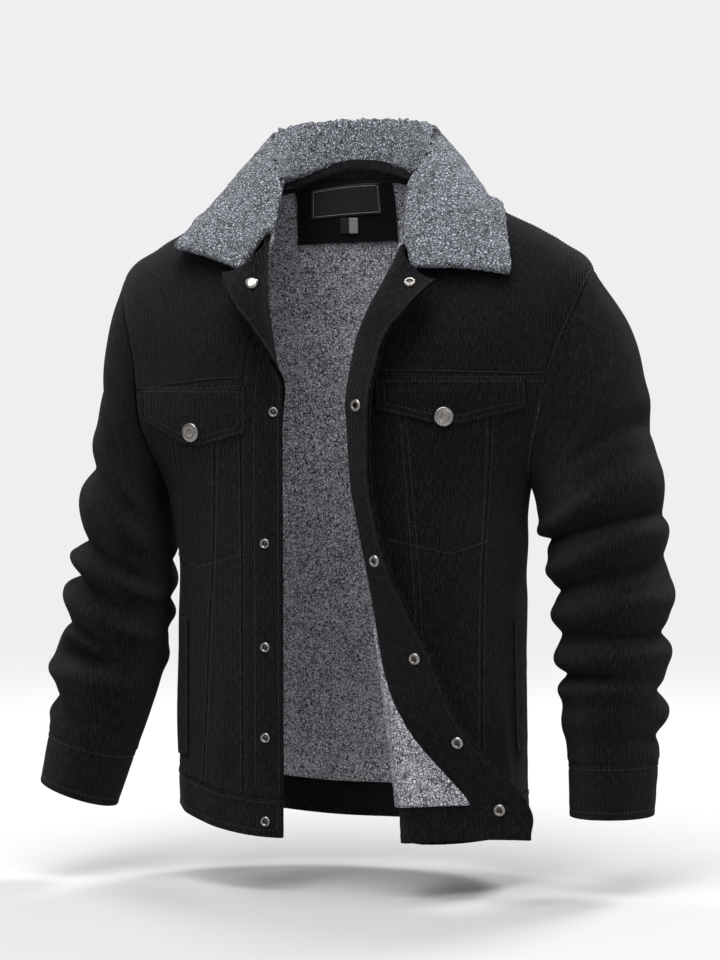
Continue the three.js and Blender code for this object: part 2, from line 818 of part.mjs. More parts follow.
for (const side of sides) {
  const { edge, placket, facing, near, far, side: end } = columnIndex[side];
  const curves = {
    lower: [(column, v) => lowerRow(side, column, v), lowerCount],
    upper: [(column, v) => upperRow(side, column, v), yokeCount],
    full: [(column, v) => fullRow(side, column, v), lowerCount + yokeCount],
  };
  const pieces = [
    [`placket_${side}`, edge, placket, 'full', shellOffsets, 'corduroy'],
    [`front_${side}_centre`, placket, near, 'lower', shellOffsets, 'corduroy'],
    [`front_${side}_middle`, near, far, 'lower', shellOffsets, 'corduroy'],
    [`front_${side}_side`, far, end, 'lower', shellOffsets, 'corduroy'],
    [`yoke_${side}`, placket, end, 'upper', shellOffsets, 'corduroy'],
    [`facing_${side}`, edge, facing, 'full', facingOffsets, 'corduroy'],
    [`lining_${side}`, facing, end, 'full', liningOffsets, 'lining'],
  ];
  for (const [name, from, to, curve, offsets, finish] of pieces) {
    const [rowAt, countRows] = curves[curve];
    addPiece(name, frontPiece(side, [from, to], rowAt, offsets, countRows), finish);
  }
}

// The back and its lining
function backPoint(u, row) {
  const from = armholeAngle('left', 'back', row);
  const to = 180 - armholeAngle('right', 'back', row);
  return backBody(mix(from + backEdgeTurn, to - backEdgeTurn, u), row);
}

function backRowAt(v) {
  const last = gridRows.length - 1;
  const row = mixAt(gridRows, v * last);
  return Math.min(neckTop, Math.max(waistTop, row));
}

function backPiece(offsets) {
  const pointAt = (u, v) => backPoint(u, backRowAt(v));
  return clothWall(pointAt, ...offsets, counts.backColumns, gridRows.length - 1);
}

addPiece('back', backPiece(shellOffsets), 'corduroy');
addPiece('lining_back', backPiece(liningOffsets), 'lining');

// The waistband runs from one front edge round the back to the other
function bandPoint(u, v) {
  const row = mix(hemRow, bandTop, v);
  const { leftEnd, rightStart } = bandShares;
  if (u < leftEnd) return frontPoint('left', mix(0, distanceAtAngle('left', 0, row), u / leftEnd), row);
  if (u < rightStart) return backBody((180 * (u - leftEnd)) / (rightStart - leftEnd), row);
  const share = (u - rightStart) / (1 - rightStart);
  return frontPoint('right', mix(distanceAtAngle('right', 0, row), 0, share), row);
}

addPiece('waistband', clothWall(bandPoint, -bandDeep, bandProud, counts.band, counts.bandRows), 'corduroy');

// Sleeves
const sleeveLast = sleeveRings.left.length - 1;

function bodyNormal(pointAt, angle, row) {
  const step = 0.01;
  const across = pointAt(angle + step, row).sub(pointAt(angle - step, row));
  const up = pointAt(angle, row + step).sub(pointAt(angle, row - step));
  return across.cross(up).normalize();
}

// The armhole's edge at an angle from the top through the front, with the cloth's normal there
function armholeEdge(side, angle) {
  const share = (1 + Math.cos(angle * radians)) / 2;
  const row = mix(armpitRow, tipRow, share);
  const front = Math.sin(angle * radians) >= 0;
  const reach = armholeAngle(side, front ? 'front' : 'back', row);
  if (front) {
    const normal = bodyNormal((a, r) => frontBody(side, a, r), reach, row).multiplyScalar(-signOf[side]);
    return { point: frontBody(side, reach, row), normal };
  }
  const turn = side === 'left' ? (a) => a : (a) => 180 - a;
  const normal = bodyNormal(backBody, turn(Math.max(leastTurn, reach)), row);
  return { point: backBody(turn(reach), row), normal };
}

function sleeveCreaseHeight(side, along, angle) {
  let height = 0;
  for (const crease of sleeveCreases[side]) {
    const turned = ((angle - crease.angle + 540) % 360) - 180;
    const across = turned / crease.halfAngle;
    const down = (along - crease.along - crease.slant * across) / crease.halfLength;
    height += crease.height * Math.exp(-across * across * across * across - down * down);
  }
  return height * smooth(along - creaseFade.top) * smooth((sleeveLast - along) / creaseFade.end);
}

function ringPoint(ring, angle) {
  const c = Math.cos(angle * radians);
  const x = (ring.topX + ring.underX) / 2 + (c * (ring.topX - ring.underX)) / 2;
  const z = (ring.topZ + ring.underZ) / 2 + (c * (ring.topZ - ring.underZ)) / 2;
  return vec(x, ring.y - ring.depth * Math.sin(angle * radians), z);
}

function sleeveRingAt(side, along) {
  const ring = {};
  for (const column of Object.keys(sleeveRings[side][0])) {
    ring[column] = between(sleeveRings[side], column, along);
  }
  return ring;
}

function ringMiddle(ring) {
  return vec((ring.topX + ring.underX) / 2, ring.y, (ring.topZ + ring.underZ) / 2);
}

function sleevePoint(side, angle, along) {
  const ring = sleeveRingAt(side, along);
  const point = ringPoint(ring, angle);
  const out = point.clone().sub(ringMiddle(ring)).normalize();
  point.addScaledVector(out, sleeveCreaseHeight(side, along, angle));
  const hold = 1 - smooth(along / armholeBlend);
  if (hold <= 0) return point;
  const shift = armholeEdge(side, angle).point.sub(ringPoint(sleeveRings[side][0], angle));
  return point.addScaledVector(shift, hold);
}

// The sleeve's first ring, a seam gap off the armhole's edge, with its mitred normal
function sleeveStart(side, angle, sleeveNormal) {
  const edge = armholeEdge(side, angle);
  const next = armholeEdge(side, angle + 0.5).point.sub(armholeEdge(side, angle - 0.5).point).normalize();
  const out = next.cross(edge.normal).normalize();
  if (out.dot(ringMiddle(sleeveRings[side][0]).sub(edge.point)) < 0) out.multiplyScalar(-1);
  const normal = edge.normal.clone().add(sleeveNormal).normalize();
  const away = seamGap + shellThick * Math.max(0, normal.dot(out));
  const point = edge.point.addScaledVector(out, away);
  point.addScaledVector(edge.normal, sharpLift * Math.max(0, -edge.normal.dot(sleeveNormal)));
  return { point, normal };
}

function sleeveNormal(side, angle, along) {
  const around = sleevePoint(side, angle + 1, along).sub(sleevePoint(side, angle - 1, along));
  const down = sleevePoint(side, angle, along + 0.02).sub(sleevePoint(side, angle, along - 0.02));
  return around.cross(down).normalize().multiplyScalar(signOf[side]);
}

for (const side of sides) {
  const firstRing = 0.5 / counts.sleeveRows;
  const startAt = (u) => sleeveStart(side, 360 * u, sleeveNormal(side, 360 * u, sleeveStartAt));
  const alongAt = (v) => v * (sleeveLast - sleeveEndGap);
  const pointAt = (u, v) => (v < firstRing ? startAt(u).point : sleevePoint(side, 360 * u, alongAt(v)));
  const normalAt = (u, v) => (v < firstRing ? startAt(u).normal : sleeveNormal(side, 360 * u, alongAt(v)));
  const sleeve = tubeWall(pointAt, -shellThick, 0, counts.sleeveRound, counts.sleeveRows, normalAt);
  addPiece(`sleeve_${side}`, sleeve, 'corduroy');

  const seamRing = sleeveRingAt(side, sleeveLast);
  const end = cuffEnds[side];
  const cuffPoint = (u, v) => {
    const ring = {};
    for (const column of Object.keys(end)) {
      ring[column] = mix(seamRing[column], end[column], mix(cuffWall.start, 1, v));
    }
    return ringPoint(ring, 360 * u);
  };
  const cuffNormal = (u, v, own) => own(u, v).multiplyScalar(signOf[side]);
  const { inner, outer } = cuffWall;
  const cuff = tubeWall(cuffPoint, inner, outer, counts.sleeveRound, counts.cuffRows, cuffNormal);
  addPiece(`cuff_${side}`, cuff, 'corduroy');
}

// The collar: from the neck seam up to its fold, then out and down
function neckSeamPoint(side, place) {
  const { backShare, below, backLift, frontLift, liftOver } = collarSeam;
  const turn = 90 * (place / backShare);
  const backAngle = side === 'left' ? 90 - turn : 90 + turn;
  const frontAngle = (collarEndAngle * (place - backShare)) / (1 - backShare);
  const at = (row) => (place < backShare ? backBody(backAngle, row) : frontBody(side, frontAngle, row));
  const seam = at(neckRow);
  const up = seam.clone().sub(at(neckRow - below)).normalize();
  return seam.addScaledVector(up, mix(backLift, frontLift, smooth((place - backShare) / liftOver)));
}

// Samples of the shoulders, for what rests on them
const shoulderSamples = [];
function sampleShoulder(pointAt, lastAngle, sign) {
  for (let row = tipRow - 1; row <= neckRow; row += shoulderStep.row) {
    for (let angle = shoulderStep.first; angle <= lastAngle; angle += shoulderStep.angle) {
      const normal = bodyNormal(pointAt, angle, row - shoulderStep.below).multiplyScalar(sign);
      shoulderSamples.push({ point: pointAt(angle, row), normal });
    }
  }
}
for (const side of sides) sampleShoulder((angle, row) => frontBody(side, angle, row), 90, -signOf[side]);
sampleShoulder(backBody, 180 - shoulderStep.first, 1);

// Lifts a point until it stands a given height off the shoulders
function clearOfShoulders(point, height) {
  let nearest = shoulderSamples[0];
  for (const sample of shoulderSamples) {
    if (sample.point.distanceToSquared(point) < nearest.point.distanceToSquared(point)) nearest = sample;
  }
  const now = point.clone().sub(nearest.point).dot(nearest.normal);
  return now < height ? point.addScaledVector(nearest.normal, height - now) : point;
}

function collarAt(side, place) {
  const rows = collarStations[side];
  let i = rows.findIndex((line) => line.place >= place);
  i = Math.max(1, i);
  const at = i - 1 + (place - rows[i - 1].place) / (rows[i].place - rows[i - 1].place);
  const fold = vec(between(rows, 'foldX', at), between(rows, 'foldY', at), between(rows, 'foldZ', at));
  const edge = vec(between(rows, 'edgeX', at), between(rows, 'edgeY', at), between(rows, 'edgeZ', at));
  return { fold, edge };
}

function collarPoint(u, v) {
  const side = u < 0.5 ? 'left' : 'right';
  const place = Math.min(1, Math.abs(u - 0.5) * 2);
  const { fold, edge } = collarAt(side, place);
  const seam = neckSeamPoint(side, place);
  const { split, frontFrom, frontOver, standBow, seamOver, foldOver } = collarShape;
  const { endBulge, bulgeOut, bulgeUp } = collarShape;
  const front = smooth((place - frontFrom) / frontOver);
  const stand = fold.clone().sub(seam);
  const fall = edge.clone().sub(fold);
  const lift = vec(0, 0, 1);
  const clear = collarThick / 2 + collarClear;
  if (v < split) {
    const t = v / split;
    const point = seam.clone().addScaledVector(stand, t);
    point.addScaledVector(lift, standBow * stand.length() * Math.sin((Math.PI * t) / 2) * (1 - t));
    return clearOfShoulders(point, front * mix(0, clear, smooth(v / seamOver)));
  }
  const t = (v - split) / (1 - split);
  const point = fold.clone().addScaledVector(fall, t);
  const outward = vec(fall.x, fall.y, 0).normalize();
  const bulge = collarBulge * Math.sin(Math.PI * t) * mix(1, endBulge, place);
  point.addScaledVector(outward, bulge * bulgeOut);
  point.addScaledVector(lift, bulge * bulgeUp);
  return clearOfShoulders(point, clear * mix(smooth(t / foldOver), 1, front));
}

const halfCollar = collarThick / 2;
const collar = clothWall(collarPoint, -halfCollar, halfCollar, counts.collarAlong, counts.collarAcross);
addPiece('collar', collar, 'lining');

// The point of a front's outer face at a given X and Z, or at a given angle and Z
function frontAtXZ(side, x, z) {
  const pointAt = (row) => frontPoint(side, distanceAtX(side, x, row), row);
  return pointAt(rowAtHeight(pointAt, z, waistRow));
}

function frontAtAngleZ(side, angle, z) {
  const pointAt = (row) => frontBody(side, angle, row);
  return pointAt(rowAtHeight(pointAt, z, hemRow));
}

// Pocket flaps and welts, made from the front's points moved out
function flapWall(side, flap) {
  const bottomAt = (u) => {
    if (u < 0.5) return mix(flap.nearZ, flap.pointZ, u * 2);
    return mix(flap.pointZ, flap.cornerZ, u * 2 - 1);
  };
  const pointAt = (u, v) => frontAtXZ(side, mix(flap.nearX, flap.farX, u), mix(bottomAt(u), flap.topZ, v));
  const sign = signOf[side];
  return clothWall(pointAt, lieGap * sign, (lieGap + flapThick) * sign, ...counts.flap);
}

function weltWall(side, welt) {
  const pointAt = (u, v) => frontAtAngleZ(side, mix(welt.from, welt.to, u), mix(welt.bottomZ, welt.topZ, v));
  const sign = signOf[side];
  return clothWall(pointAt, lieGap * sign, (lieGap + shellThick) * sign, ...counts.welt);
}

for (const side of sides) {
  addPiece(`flap_${side}`, flapWall(side, flaps[side]), 'corduroy');
  addPiece(`welt_${side}`, weltWall(side, welts[side]), 'corduroy');
}

// Snaps: a turned profile set on the cloth
function snapGeometry(profile, point, normal) {
  const outline = profile.map(([radius, height]) => new THREE.Vector2(radius, height));
  const geometry = new THREE.LatheGeometry(outline, counts.snapSides);
  const turn = new THREE.Quaternion().setFromUnitVectors(vec(0, 1, 0), normal);
  geometry.applyQuaternion(turn);
  geometry.translate(point.x, point.y, point.z);
  return geometry;
}

function capProfile({ radius, height, crown }) {
  return [[0, 0], [radius, 0], [radius * crown, height * crown], [0, height]];
}

function ringProfile({ radius, hole, height, lip, crown }) {
  return [[hole, 0], [radius, 0], [radius * crown, height], [hole + lip, height], [hole, 0]];
}

// A snap on a front at a distance from its edge, on the outer face or on the inside
function edgeSnap(side, distance, z, face, lift, profile) {
  const pointAt = (row) => frontPoint(side, distance, row);
  const row = rowAtHeight(pointAt, z, hemRow);
  const across = frontPoint(side, distance + 1, row).sub(frontPoint(side, distance - 1, row));
  const up = pointAt(row + rowStep).sub(pointAt(row - rowStep));
  const normal = across.cross(up).normalize().multiplyScalar(signOf[side]);
  if (face === 'inside') normal.multiplyScalar(-1);
  return snapGeometry(profile, pointAt(row).addScaledVector(normal, lift), normal);
}

const capTurned = capProfile(capSnap);
const ringTurned = ringProfile(ringSnap);
snaps.forEach(({ studZ, studInset, ringZ, ringInset, outside, hollow, inside }, i) => {
  const stud = edgeSnap('right', studInset, studZ, 'outside', outside, capProfile(placketSnap));
  addPiece(`stud_right_${i + 1}`, stud, 'steel');
  const ring = edgeSnap('left', ringInset, ringZ, 'inside', inside, ringTurned);
  const cap = edgeSnap('left', ringInset, ringZ, 'outside', hollow, capTurned);
  addPiece(`snap_ring_left_${i + 1}`, ring, 'steel');
  addPiece(`snap_cap_left_${i + 1}`, cap, 'steel');
});

const lapelLeft = lapelSnaps.left;
const lapelRight = lapelSnaps.right;
const lapelBack = edgeSnap('right', lapelRight.inset, lapelRight.z, 'inside', lapelRight.inside, capTurned);
const lapelRing = edgeSnap('left', lapelLeft.inset, lapelLeft.z, 'inside', lapelLeft.inside, ringTurned);
const lapelCap = edgeSnap('left', lapelLeft.inset, lapelLeft.z, 'outside', lapelLeft.hollow, capTurned);
addPiece('snap_back_right_6', lapelBack, 'steel');
addPiece('snap_ring_left_6', lapelRing, 'steel');
addPiece('snap_cap_left_6', lapelCap, 'steel');

for (const side of sides) {
  const { snapX, snapZ } = flaps[side];
  const point = frontAtXZ(side, snapX, snapZ);
  const across = frontAtXZ(side, snapX + 1, snapZ).sub(frontAtXZ(side, snapX - 1, snapZ));
  const up = frontAtXZ(side, snapX, snapZ + 1).sub(frontAtXZ(side, snapX, snapZ - 1));
  const normal = across.cross(up).normalize();
  point.addScaledVector(normal, 2 * lieGap + flapThick + snapClear);
  addPiece(`pocket_snap_${side}`, snapGeometry(capProfile(pocketSnap), point, normal), 'steel');
}

// Pieces on the lining at the back of the neck
function backAngleAtX(x, row) {
  const mid = between(bodyRows.back, 'midX', row);
  const rows = bodyRows[x > mid ? 'left' : 'right'];
  const share = (x - mid) / (between(rows, 'sideX', row) - mid);
  const angle = Math.acos(Math.min(0.999, share)) / radians;
  return x > mid ? angle : 180 - angle;
}

function backAtXZ(x, z) {
  const pointAt = (row) => backBody(backAngleAtX(x, row), row);
  return pointAt(rowAtHeight(pointAt, z, waistRow));
}

function laidOnBack(piece, offset, thick, columns, rows) {
  const pointAt = (u, v) => {
    const x = mix(piece.midX - piece.width / 2, piece.midX + piece.width / 2, u);
    return backAtXZ(x, mix(piece.bottomZ, piece.topZ, v) + piece.lean * (x - piece.midX));
  };
  return clothWall(pointAt, offset, offset + thick, columns, rows);
}

const liningFace = shellThick + layerGap + liningThick;
const onPatch = liningFace + patchOff + patchThick + lieGap;
addPiece('hanger_patch', laidOnBack(patch, liningFace + patchOff, patchThick, ...counts.patch), 'patch');
addPiece('neck_label', laidOnBack(label, onPatch, patchThick, ...counts.label), 'label');
for (const tag of tags) {
  addPiece(tag.name, laidOnBack(tag, onPatch, patchThick, ...counts.tag), 'label');
}

function neckBandPoint(u, v) {
  const drop = neckBand.height * (1 - v);
  const angle = mix(neckBand.from, neckBand.to, u);
  const top = backBody(angle, neckTop);
  const below = backBody(angle, gridRows[gridRows.length - 2]);
  return top.lerp(below, drop / top.distanceTo(below));
}

const bandOff = liningFace + neckBand.off;
const band = clothWall(neckBandPoint, -bandOff - patchThick, -bandOff, ...counts.neckBand);
addPiece('neck_band', band, 'corduroy');

export default group;
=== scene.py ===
# The look of an open corduroy trucker jacket with a sherpa collar and lining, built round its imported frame.
# Shapes are worked out in millimetres, +Z up, with the wearer facing -Y, and scaled to metres at the end.
import math
import bpy
import numpy as np
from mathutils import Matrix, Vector


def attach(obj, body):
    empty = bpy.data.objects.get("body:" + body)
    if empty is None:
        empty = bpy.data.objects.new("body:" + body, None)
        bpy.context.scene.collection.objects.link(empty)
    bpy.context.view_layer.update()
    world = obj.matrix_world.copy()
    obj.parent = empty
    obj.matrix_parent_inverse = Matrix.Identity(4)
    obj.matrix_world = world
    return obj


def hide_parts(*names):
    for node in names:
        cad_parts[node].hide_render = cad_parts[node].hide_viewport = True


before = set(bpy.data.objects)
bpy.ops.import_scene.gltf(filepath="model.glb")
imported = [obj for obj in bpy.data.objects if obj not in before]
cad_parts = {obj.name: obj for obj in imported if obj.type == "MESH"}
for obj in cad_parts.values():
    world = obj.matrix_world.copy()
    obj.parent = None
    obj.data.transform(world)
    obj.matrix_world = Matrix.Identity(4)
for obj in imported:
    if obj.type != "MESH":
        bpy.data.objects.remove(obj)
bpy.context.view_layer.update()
print("frame loaded")

cloth = {
    "shellThick": 2.0,      # corduroy
    "liningThick": 5.0,     # backing and pile of the sherpa
    "layerGap": 1.0,
    "seamGap": 0.5,
    "shellSheet": 1.8,      # thickness of the finished sheets laid on the solids
    "liningSheet": 4.5,
    "placketWidth": 42.0,
    "facingWidth": 58.0,
}

# Rows run up the body: 0 hem, 1 waist seam, 5 armpit, 6.5 yoke seam, 8 shoulder tip, 12 neck
rowsOfBody = {"hem": 0.0, "waist": 1.0, "armpit": 5.0, "yoke": 6.5, "tip": 8.0, "neck": 12.0}
firstRow, lastRow = rowsOfBody["waist"] + 0.007, rowsOfBody["neck"] - 0.02      # of the panels above the waistband

# sideX sideZ rollX rollY rollZ
bodyRows = {
    "left": [
        [191, -677, 99, -106, -682], [190, -640, 97, -106, -644], [189, -560, 90, -108, -562],
        [188, -480, 84, -110, -480], [188, -400, 73, -113, -400], [194, -323, 58, -116, -326],
        [226, -240, 53, -118, -272], [250, -164, 50, -119, -236], [257, -103, 51, -119, -205],
        [222, -73, 55, -117, -170], [178, -50, 63, -113, -140], [128, -27, 70, -107, -112],
        [80, -6, 80, -97, -82]],
    "right": [
        [-176, -657, -43, -112, -679], [-177, -620, -43, -112, -641], [-178, -548, -43, -113, -560],
        [-178, -472, -43, -114, -480], [-177, -396, -43, -115, -400], [-189, -327, -43, -116, -326],
        [-230, -256, -43, -117, -270], [-237, -184, -47, -118, -232], [-236, -109, -60, -118, -200],
        [-199, -78, -65, -116, -165], [-163, -57, -67, -112, -133], [-120, -34, -65, -106, -103],
        [-72, -7, -64, -97, -73]],
    # midX midY midZ
    "back": [
        [7, 116, -686], [7, 116, -648], [6, 115, -565], [5, 114, -482], [5, 113, -402],
        [5, 113, -323], [6, 114, -248], [6, 113, -180], [5, 111, -130], [2, 108, -92],
        [-1, 104, -56], [-4, 96, -19], [-6, 85, 16]],
}

# How the front edge turns outwards: length radius turn drop
edgeRolls = {
    "left": [
        [158, 13, 176, 13], [156, 13, 176, 11], [107, 15, 171, 2], [90, 18, 162, 0], [68, 20, 152, 0],
        [62, 19, 150, 0], [62, 18, 152, 0], [63, 17, 154, 0], [58, 14, 156, 0], [55, 12, 159, -2],
        [61, 12, 160, -8], [54, 11, 163, -20], [42, 11, 166, -37]],
    "right": [
        [0, 12, 90, 0], [0, 12, 90, 0], [0, 12, 90, 0], [0, 12, 90, 0], [0, 12, 90, 0],
        [0, 12, 90, 0], [0, 12, 90, 0], [6, 12, 90, 0], [23, 12, 110, 0], [37, 12, 150, -2],
        [51, 12, 158, -6], [50, 11, 163, -20], [47, 11, 166, -38]],
}

# X of the two slanting seams under each yoke: near far
slantSeams = {
    "left": [[108, 156], [106, 156], [102, 156], [98, 156], [94, 157], [88, 161], [84, 166], [80, 168], [80, 168]],
    "right": [[-134, -166], [-133, -166], [-128, -166], [-124, -166], [-119, -165], [-116, -163],
              [-113, -164], [-112, -166], [-112, -166]],
}
armholeReach = {"left": {"front": 27, "back": 24}, "right": {"front": 29, "back": 24}}
yokeNearZ = {"left": -208, "right": -216}

# Soft drape folds: angle z halfAngle halfHeight lean height
bodyFolds = {
    "left": [[30, -600, 7, 70, 0.05, 4], [12, -560, 6, 90, -0.04, 3.5], [20, -350, 7, 60, 0.12, 4]],
    "right": [[60, -600, 6, 70, 0.04, 3.5], [28, -590, 6, 80, -0.06, 4], [16, -345, 7, 55, -0.12, 5]],
    "back": [[45, -590, 8, 80, 0.04, 4], [90, -600, 9, 90, -0.03, 3.5], [138, -580, 8, 85, -0.05, 4.5],
             [30, -330, 7, 80, 0.14, 5], [150, -335, 7, 80, -0.14, 5], [75, -150, 12, 25, 0.2, 2.5],
             [108, -155, 12, 25, -0.2, 2.5]],
}
signOf = {"left": 1.0, "right": -1.0}


def mix(a, b, t):
    return a + (b - a) * t


def smooth(t):
    c = np.clip(t, 0.0, 1.0)
    return c * c * (3 - 2 * c)


def stack(x, y, z):
    return np.stack(np.broadcast_arrays(x, y, z), axis=-1).astype(float)


def unit(v):
    return v / np.maximum(np.linalg.norm(v, axis=-1, keepdims=True), 1e-9)


def lifted(points, normals, height):
    return points + normals * np.asarray(height)[..., None]


# A soft line, 1 at a distance and gone a little to each side of it
def softLine(distance, at, width):
    return np.exp(-((distance - at) / width) ** 2)


# Smooth values between the rows of a table, one column after another
def between(rows, at):
    rows = np.asarray(rows, float)
    last = len(rows) - 1
    at = np.clip(np.asarray(at, float), 0, last)
    i = np.minimum(last - 1, np.floor(at).astype(int))
    t = (at - i)[..., None]
    p1, p2 = rows[i], rows[i + 1]
    m1 = np.where((i > 0)[..., None], (p2 - rows[np.maximum(i - 1, 0)]) / 2, p2 - p1)
    m2 = np.where((i + 1 < last)[..., None], (rows[np.minimum(i + 2, last)] - p1) / 2, p2 - p1)
    value = ((2 * p1 - 2 * p2 + m1 + m2) * t + (-3 * p1 + 3 * p2 - 2 * m1 - m2)) * t * t + m1 * t + p1
    return np.moveaxis(value, -1, 0)


def foldHeight(face, angle, z):
    height = 0.0
    for foldAngle, foldZ, halfAngle, halfHeight, lean, proud in bodyFolds[face]:
        down = (z - foldZ) / halfHeight
        across = (angle - foldAngle - lean * (z - foldZ)) / halfAngle
        height = height + proud * np.exp(-across ** 2 - down ** 2)
    return height


def straightness(row):
    return smooth((row - rowsOfBody["tip"]) / (rowsOfBody["neck"] - rowsOfBody["tip"]))


# A front's outer face: angle 0 at the side line, 90 where the edge starts to turn
def frontBody(side, angle, row):
    angle, row = np.broadcast_arrays(np.asarray(angle, float), np.asarray(row, float))
    sideX, sideZ, rollX, rollY, rollZ = between(bodyRows[side], row)
    c, s = np.cos(np.radians(angle)), np.sin(np.radians(angle))
    z = mix(sideZ, rollZ, s * s)
    out = foldHeight(side, angle, z) * np.sin(2 * np.radians(angle))
    forward = mix(s, angle / 90, straightness(row))
    return stack(mix(rollX, sideX, c) + out * c * signOf[side], rollY * forward - out * s, z)


# The back's outer face: angle 0 at the wearer's left side line, 180 at the right
def backBody(angle, row):
    angle, row = np.broadcast_arrays(np.asarray(angle, float), np.asarray(row, float))
    onLeft = angle < 90
    left, right = between(bodyRows["left"], row), between(bodyRows["right"], row)
    sideX, sideZ = np.where(onLeft, left[0], right[0]), np.where(onLeft, left[1], right[1])
    midX, midY, midZ = between(bodyRows["back"], row)
    c, s = np.abs(np.cos(np.radians(angle))), np.sin(np.radians(angle))
    z = mix(sideZ, midZ, s * s)
    out = foldHeight("back", angle, z) * s
    return stack(mix(midX, sideX, c) + out * c * np.where(onLeft, 1, -1), (midY + out) * s, z)


def rollStartTurn(side, row):
    sideX, _, rollX, rollY, _ = between(bodyRows[side], row)
    forward = (-rollY * straightness(row)) / math.radians(90)
    return np.arctan2(forward, np.abs(sideX) - np.abs(rollX))


# The turned edge at a length past the roll line
def rolledEdge(side, past, row):
    length, radius, turnEnd, dropEnd = between(edgeRolls[side], row)
    firstTurn = rollStartTurn(side, row)
    fullTurn = np.radians(turnEnd)
    turn = np.minimum(firstTurn + past / radius, fullTurn)
    straight = np.maximum(0, past - radius * (fullTurn - firstTurn))
    inward = radius * (np.sin(turn) - np.sin(firstTurn)) + straight * np.cos(fullTurn)
    outward = radius * (np.cos(firstTurn) - np.cos(turn)) + straight * np.sin(fullTurn)
    start = frontBody(side, 90, row)
    share = past / np.maximum(length, 1e-6)
    drop = dropEnd * share * (2 - share)
    return stack(start[..., 0] - inward * signOf[side], start[..., 1] - outward, start[..., 2] + drop)


# Cloth lengths from the roll line to the side line, tabled by row and by angle
lengthRows = np.linspace(0, rowsOfBody["neck"], 481)
lengthSteps = 90


def lengthTables(side):
    angles = 90 * (1 - np.arange(lengthSteps + 1) / lengthSteps)
    points = frontBody(side, angles[None, :], lengthRows[:, None])
    pieces = np.linalg.norm(np.diff(points, axis=1), axis=-1)
    lengths = np.concatenate([np.zeros((len(lengthRows), 1)), np.cumsum(pieces, axis=1)], axis=1)
    shares = np.linspace(0, 1, lengthSteps + 1)
    byShare = np.array([np.interp(shares * line[-1], line, angles) for line in lengths])
    return {"lengths": lengths, "angleByShare": byShare, "total": lengths[:, -1]}


lengthTable = {side: lengthTables(side) for side in signOf}


def lookUp(table, row, column):
    row, column = np.broadcast_arrays(np.asarray(row, float), np.asarray(column, float))
    r = np.clip(row / rowsOfBody["neck"], 0, 1) * (table.shape[0] - 1)
    c = np.clip(column, 0, 1) * (table.shape[1] - 1)
    r0 = np.minimum(np.floor(r).astype(int), table.shape[0] - 2)
    c0 = np.minimum(np.floor(c).astype(int), table.shape[1] - 2)
    low = mix(table[r0, c0], table[r0, c0 + 1], c - c0)
    high = mix(table[r0 + 1, c0], table[r0 + 1, c0 + 1], c - c0)
    return mix(low, high, r - r0)


def rollLength(side, row):
    return np.maximum(0, between(edgeRolls[side], row)[0])


def distanceAtAngle(side, angle, row):
    return rollLength(side, row) + lookUp(lengthTable[side]["lengths"], row, 1 - np.asarray(angle) / 90)


def distanceAtX(side, x, row):
    sideX, _, rollX, _, _ = between(bodyRows[side], row)
    share = np.clip((x - rollX) / (sideX - rollX), 0, 0.999)
    return distanceAtAngle(side, np.degrees(np.arccos(share)), row)


# A front's outer face by the distance from its free edge, measured along the cloth
def frontPoint(side, distance, row):
    distance, row = np.broadcast_arrays(np.asarray(distance, float), np.asarray(row, float))
    roll = rollLength(side, row)
    total = np.interp(row, lengthRows, lengthTable[side]["total"])
    angle = lookUp(lengthTable[side]["angleByShare"], row, (distance - roll) / total)
    flat = frontBody(side, angle, row)
    turned = rolledEdge(side, np.maximum(0, roll - distance), row)
    return np.where((distance < roll)[..., None], turned, flat)


def armholeAngle(side, face, row):
    t = np.clip((row - rowsOfBody["armpit"]) / (rowsOfBody["tip"] - rowsOfBody["armpit"]), 0, 1)
    return armholeReach[side][face] * np.sqrt(4 * t * (1 - t))


def slantDistance(side, column, row):
    seamRow = np.minimum(row, rowsOfBody["tip"])
    roll = rollLength(side, seamRow)
    whole = distanceAtAngle(side, 0, seamRow) - roll
    share = (distanceAtX(side, between(slantSeams[side], seamRow)[column], seamRow) - roll) / whole
    return mix(rollLength(side, row), distanceAtAngle(side, 0, row), share)


# Distances of the front's seams at a row: edge, placket, facing, near seam, far seam, side
def frontSeams(side, row):
    near = np.maximum(slantDistance(side, 0, row), cloth["facingWidth"] + 12)
    end = distanceAtAngle(side, armholeAngle(side, "front", row), row)
    far = np.minimum(slantDistance(side, 1, row), end - 8)
    return {"edge": 0 * near, "placket": 0 * near + cloth["placketWidth"],
            "facing": 0 * near + cloth["facingWidth"], "near": near, "far": far, "side": end}


# The row at which a surface, at places given by a function of the row, reaches a height
def rowAtHeight(pointAt, z, low, high):
    low, high = np.full(np.shape(z), float(low)), np.full(np.shape(z), float(high))
    for _ in range(34):
        row = (low + high) / 2
        under = pointAt(row)[..., 2] < z
        low, high = np.where(under, row, low), np.where(under, high, row)
    return (low + high) / 2


# The row at which the yoke seam crosses each share of the way from the placket to the side
yokeShares = np.linspace(0, 1, 121)


def yokeLine(side, lift):
    farZ = frontBody(side, armholeAngle(side, "front", rowsOfBody["yoke"]), rowsOfBody["yoke"])[..., 2]
    target = mix(yokeNearZ[side], farZ, smooth(yokeShares)) + lift

    def onPanel(row):
        seams = frontSeams(side, row)
        return frontPoint(side, mix(seams["placket"], seams["side"], yokeShares), row)
    return rowAtHeight(onPanel, target, rowsOfBody["waist"], rowsOfBody["neck"])


yokeLines = {(side, lift): yokeLine(side, lift) for side in signOf for lift in (-1, 0, 1)}


def yokeRow(side, share, lift):
    sign = int(np.sign(lift))
    base, moved = yokeLines[(side, 0)], yokeLines[(side, sign)]
    return np.interp(share, yokeShares, mix(base, moved, abs(lift)))


print("surfaces tabled")


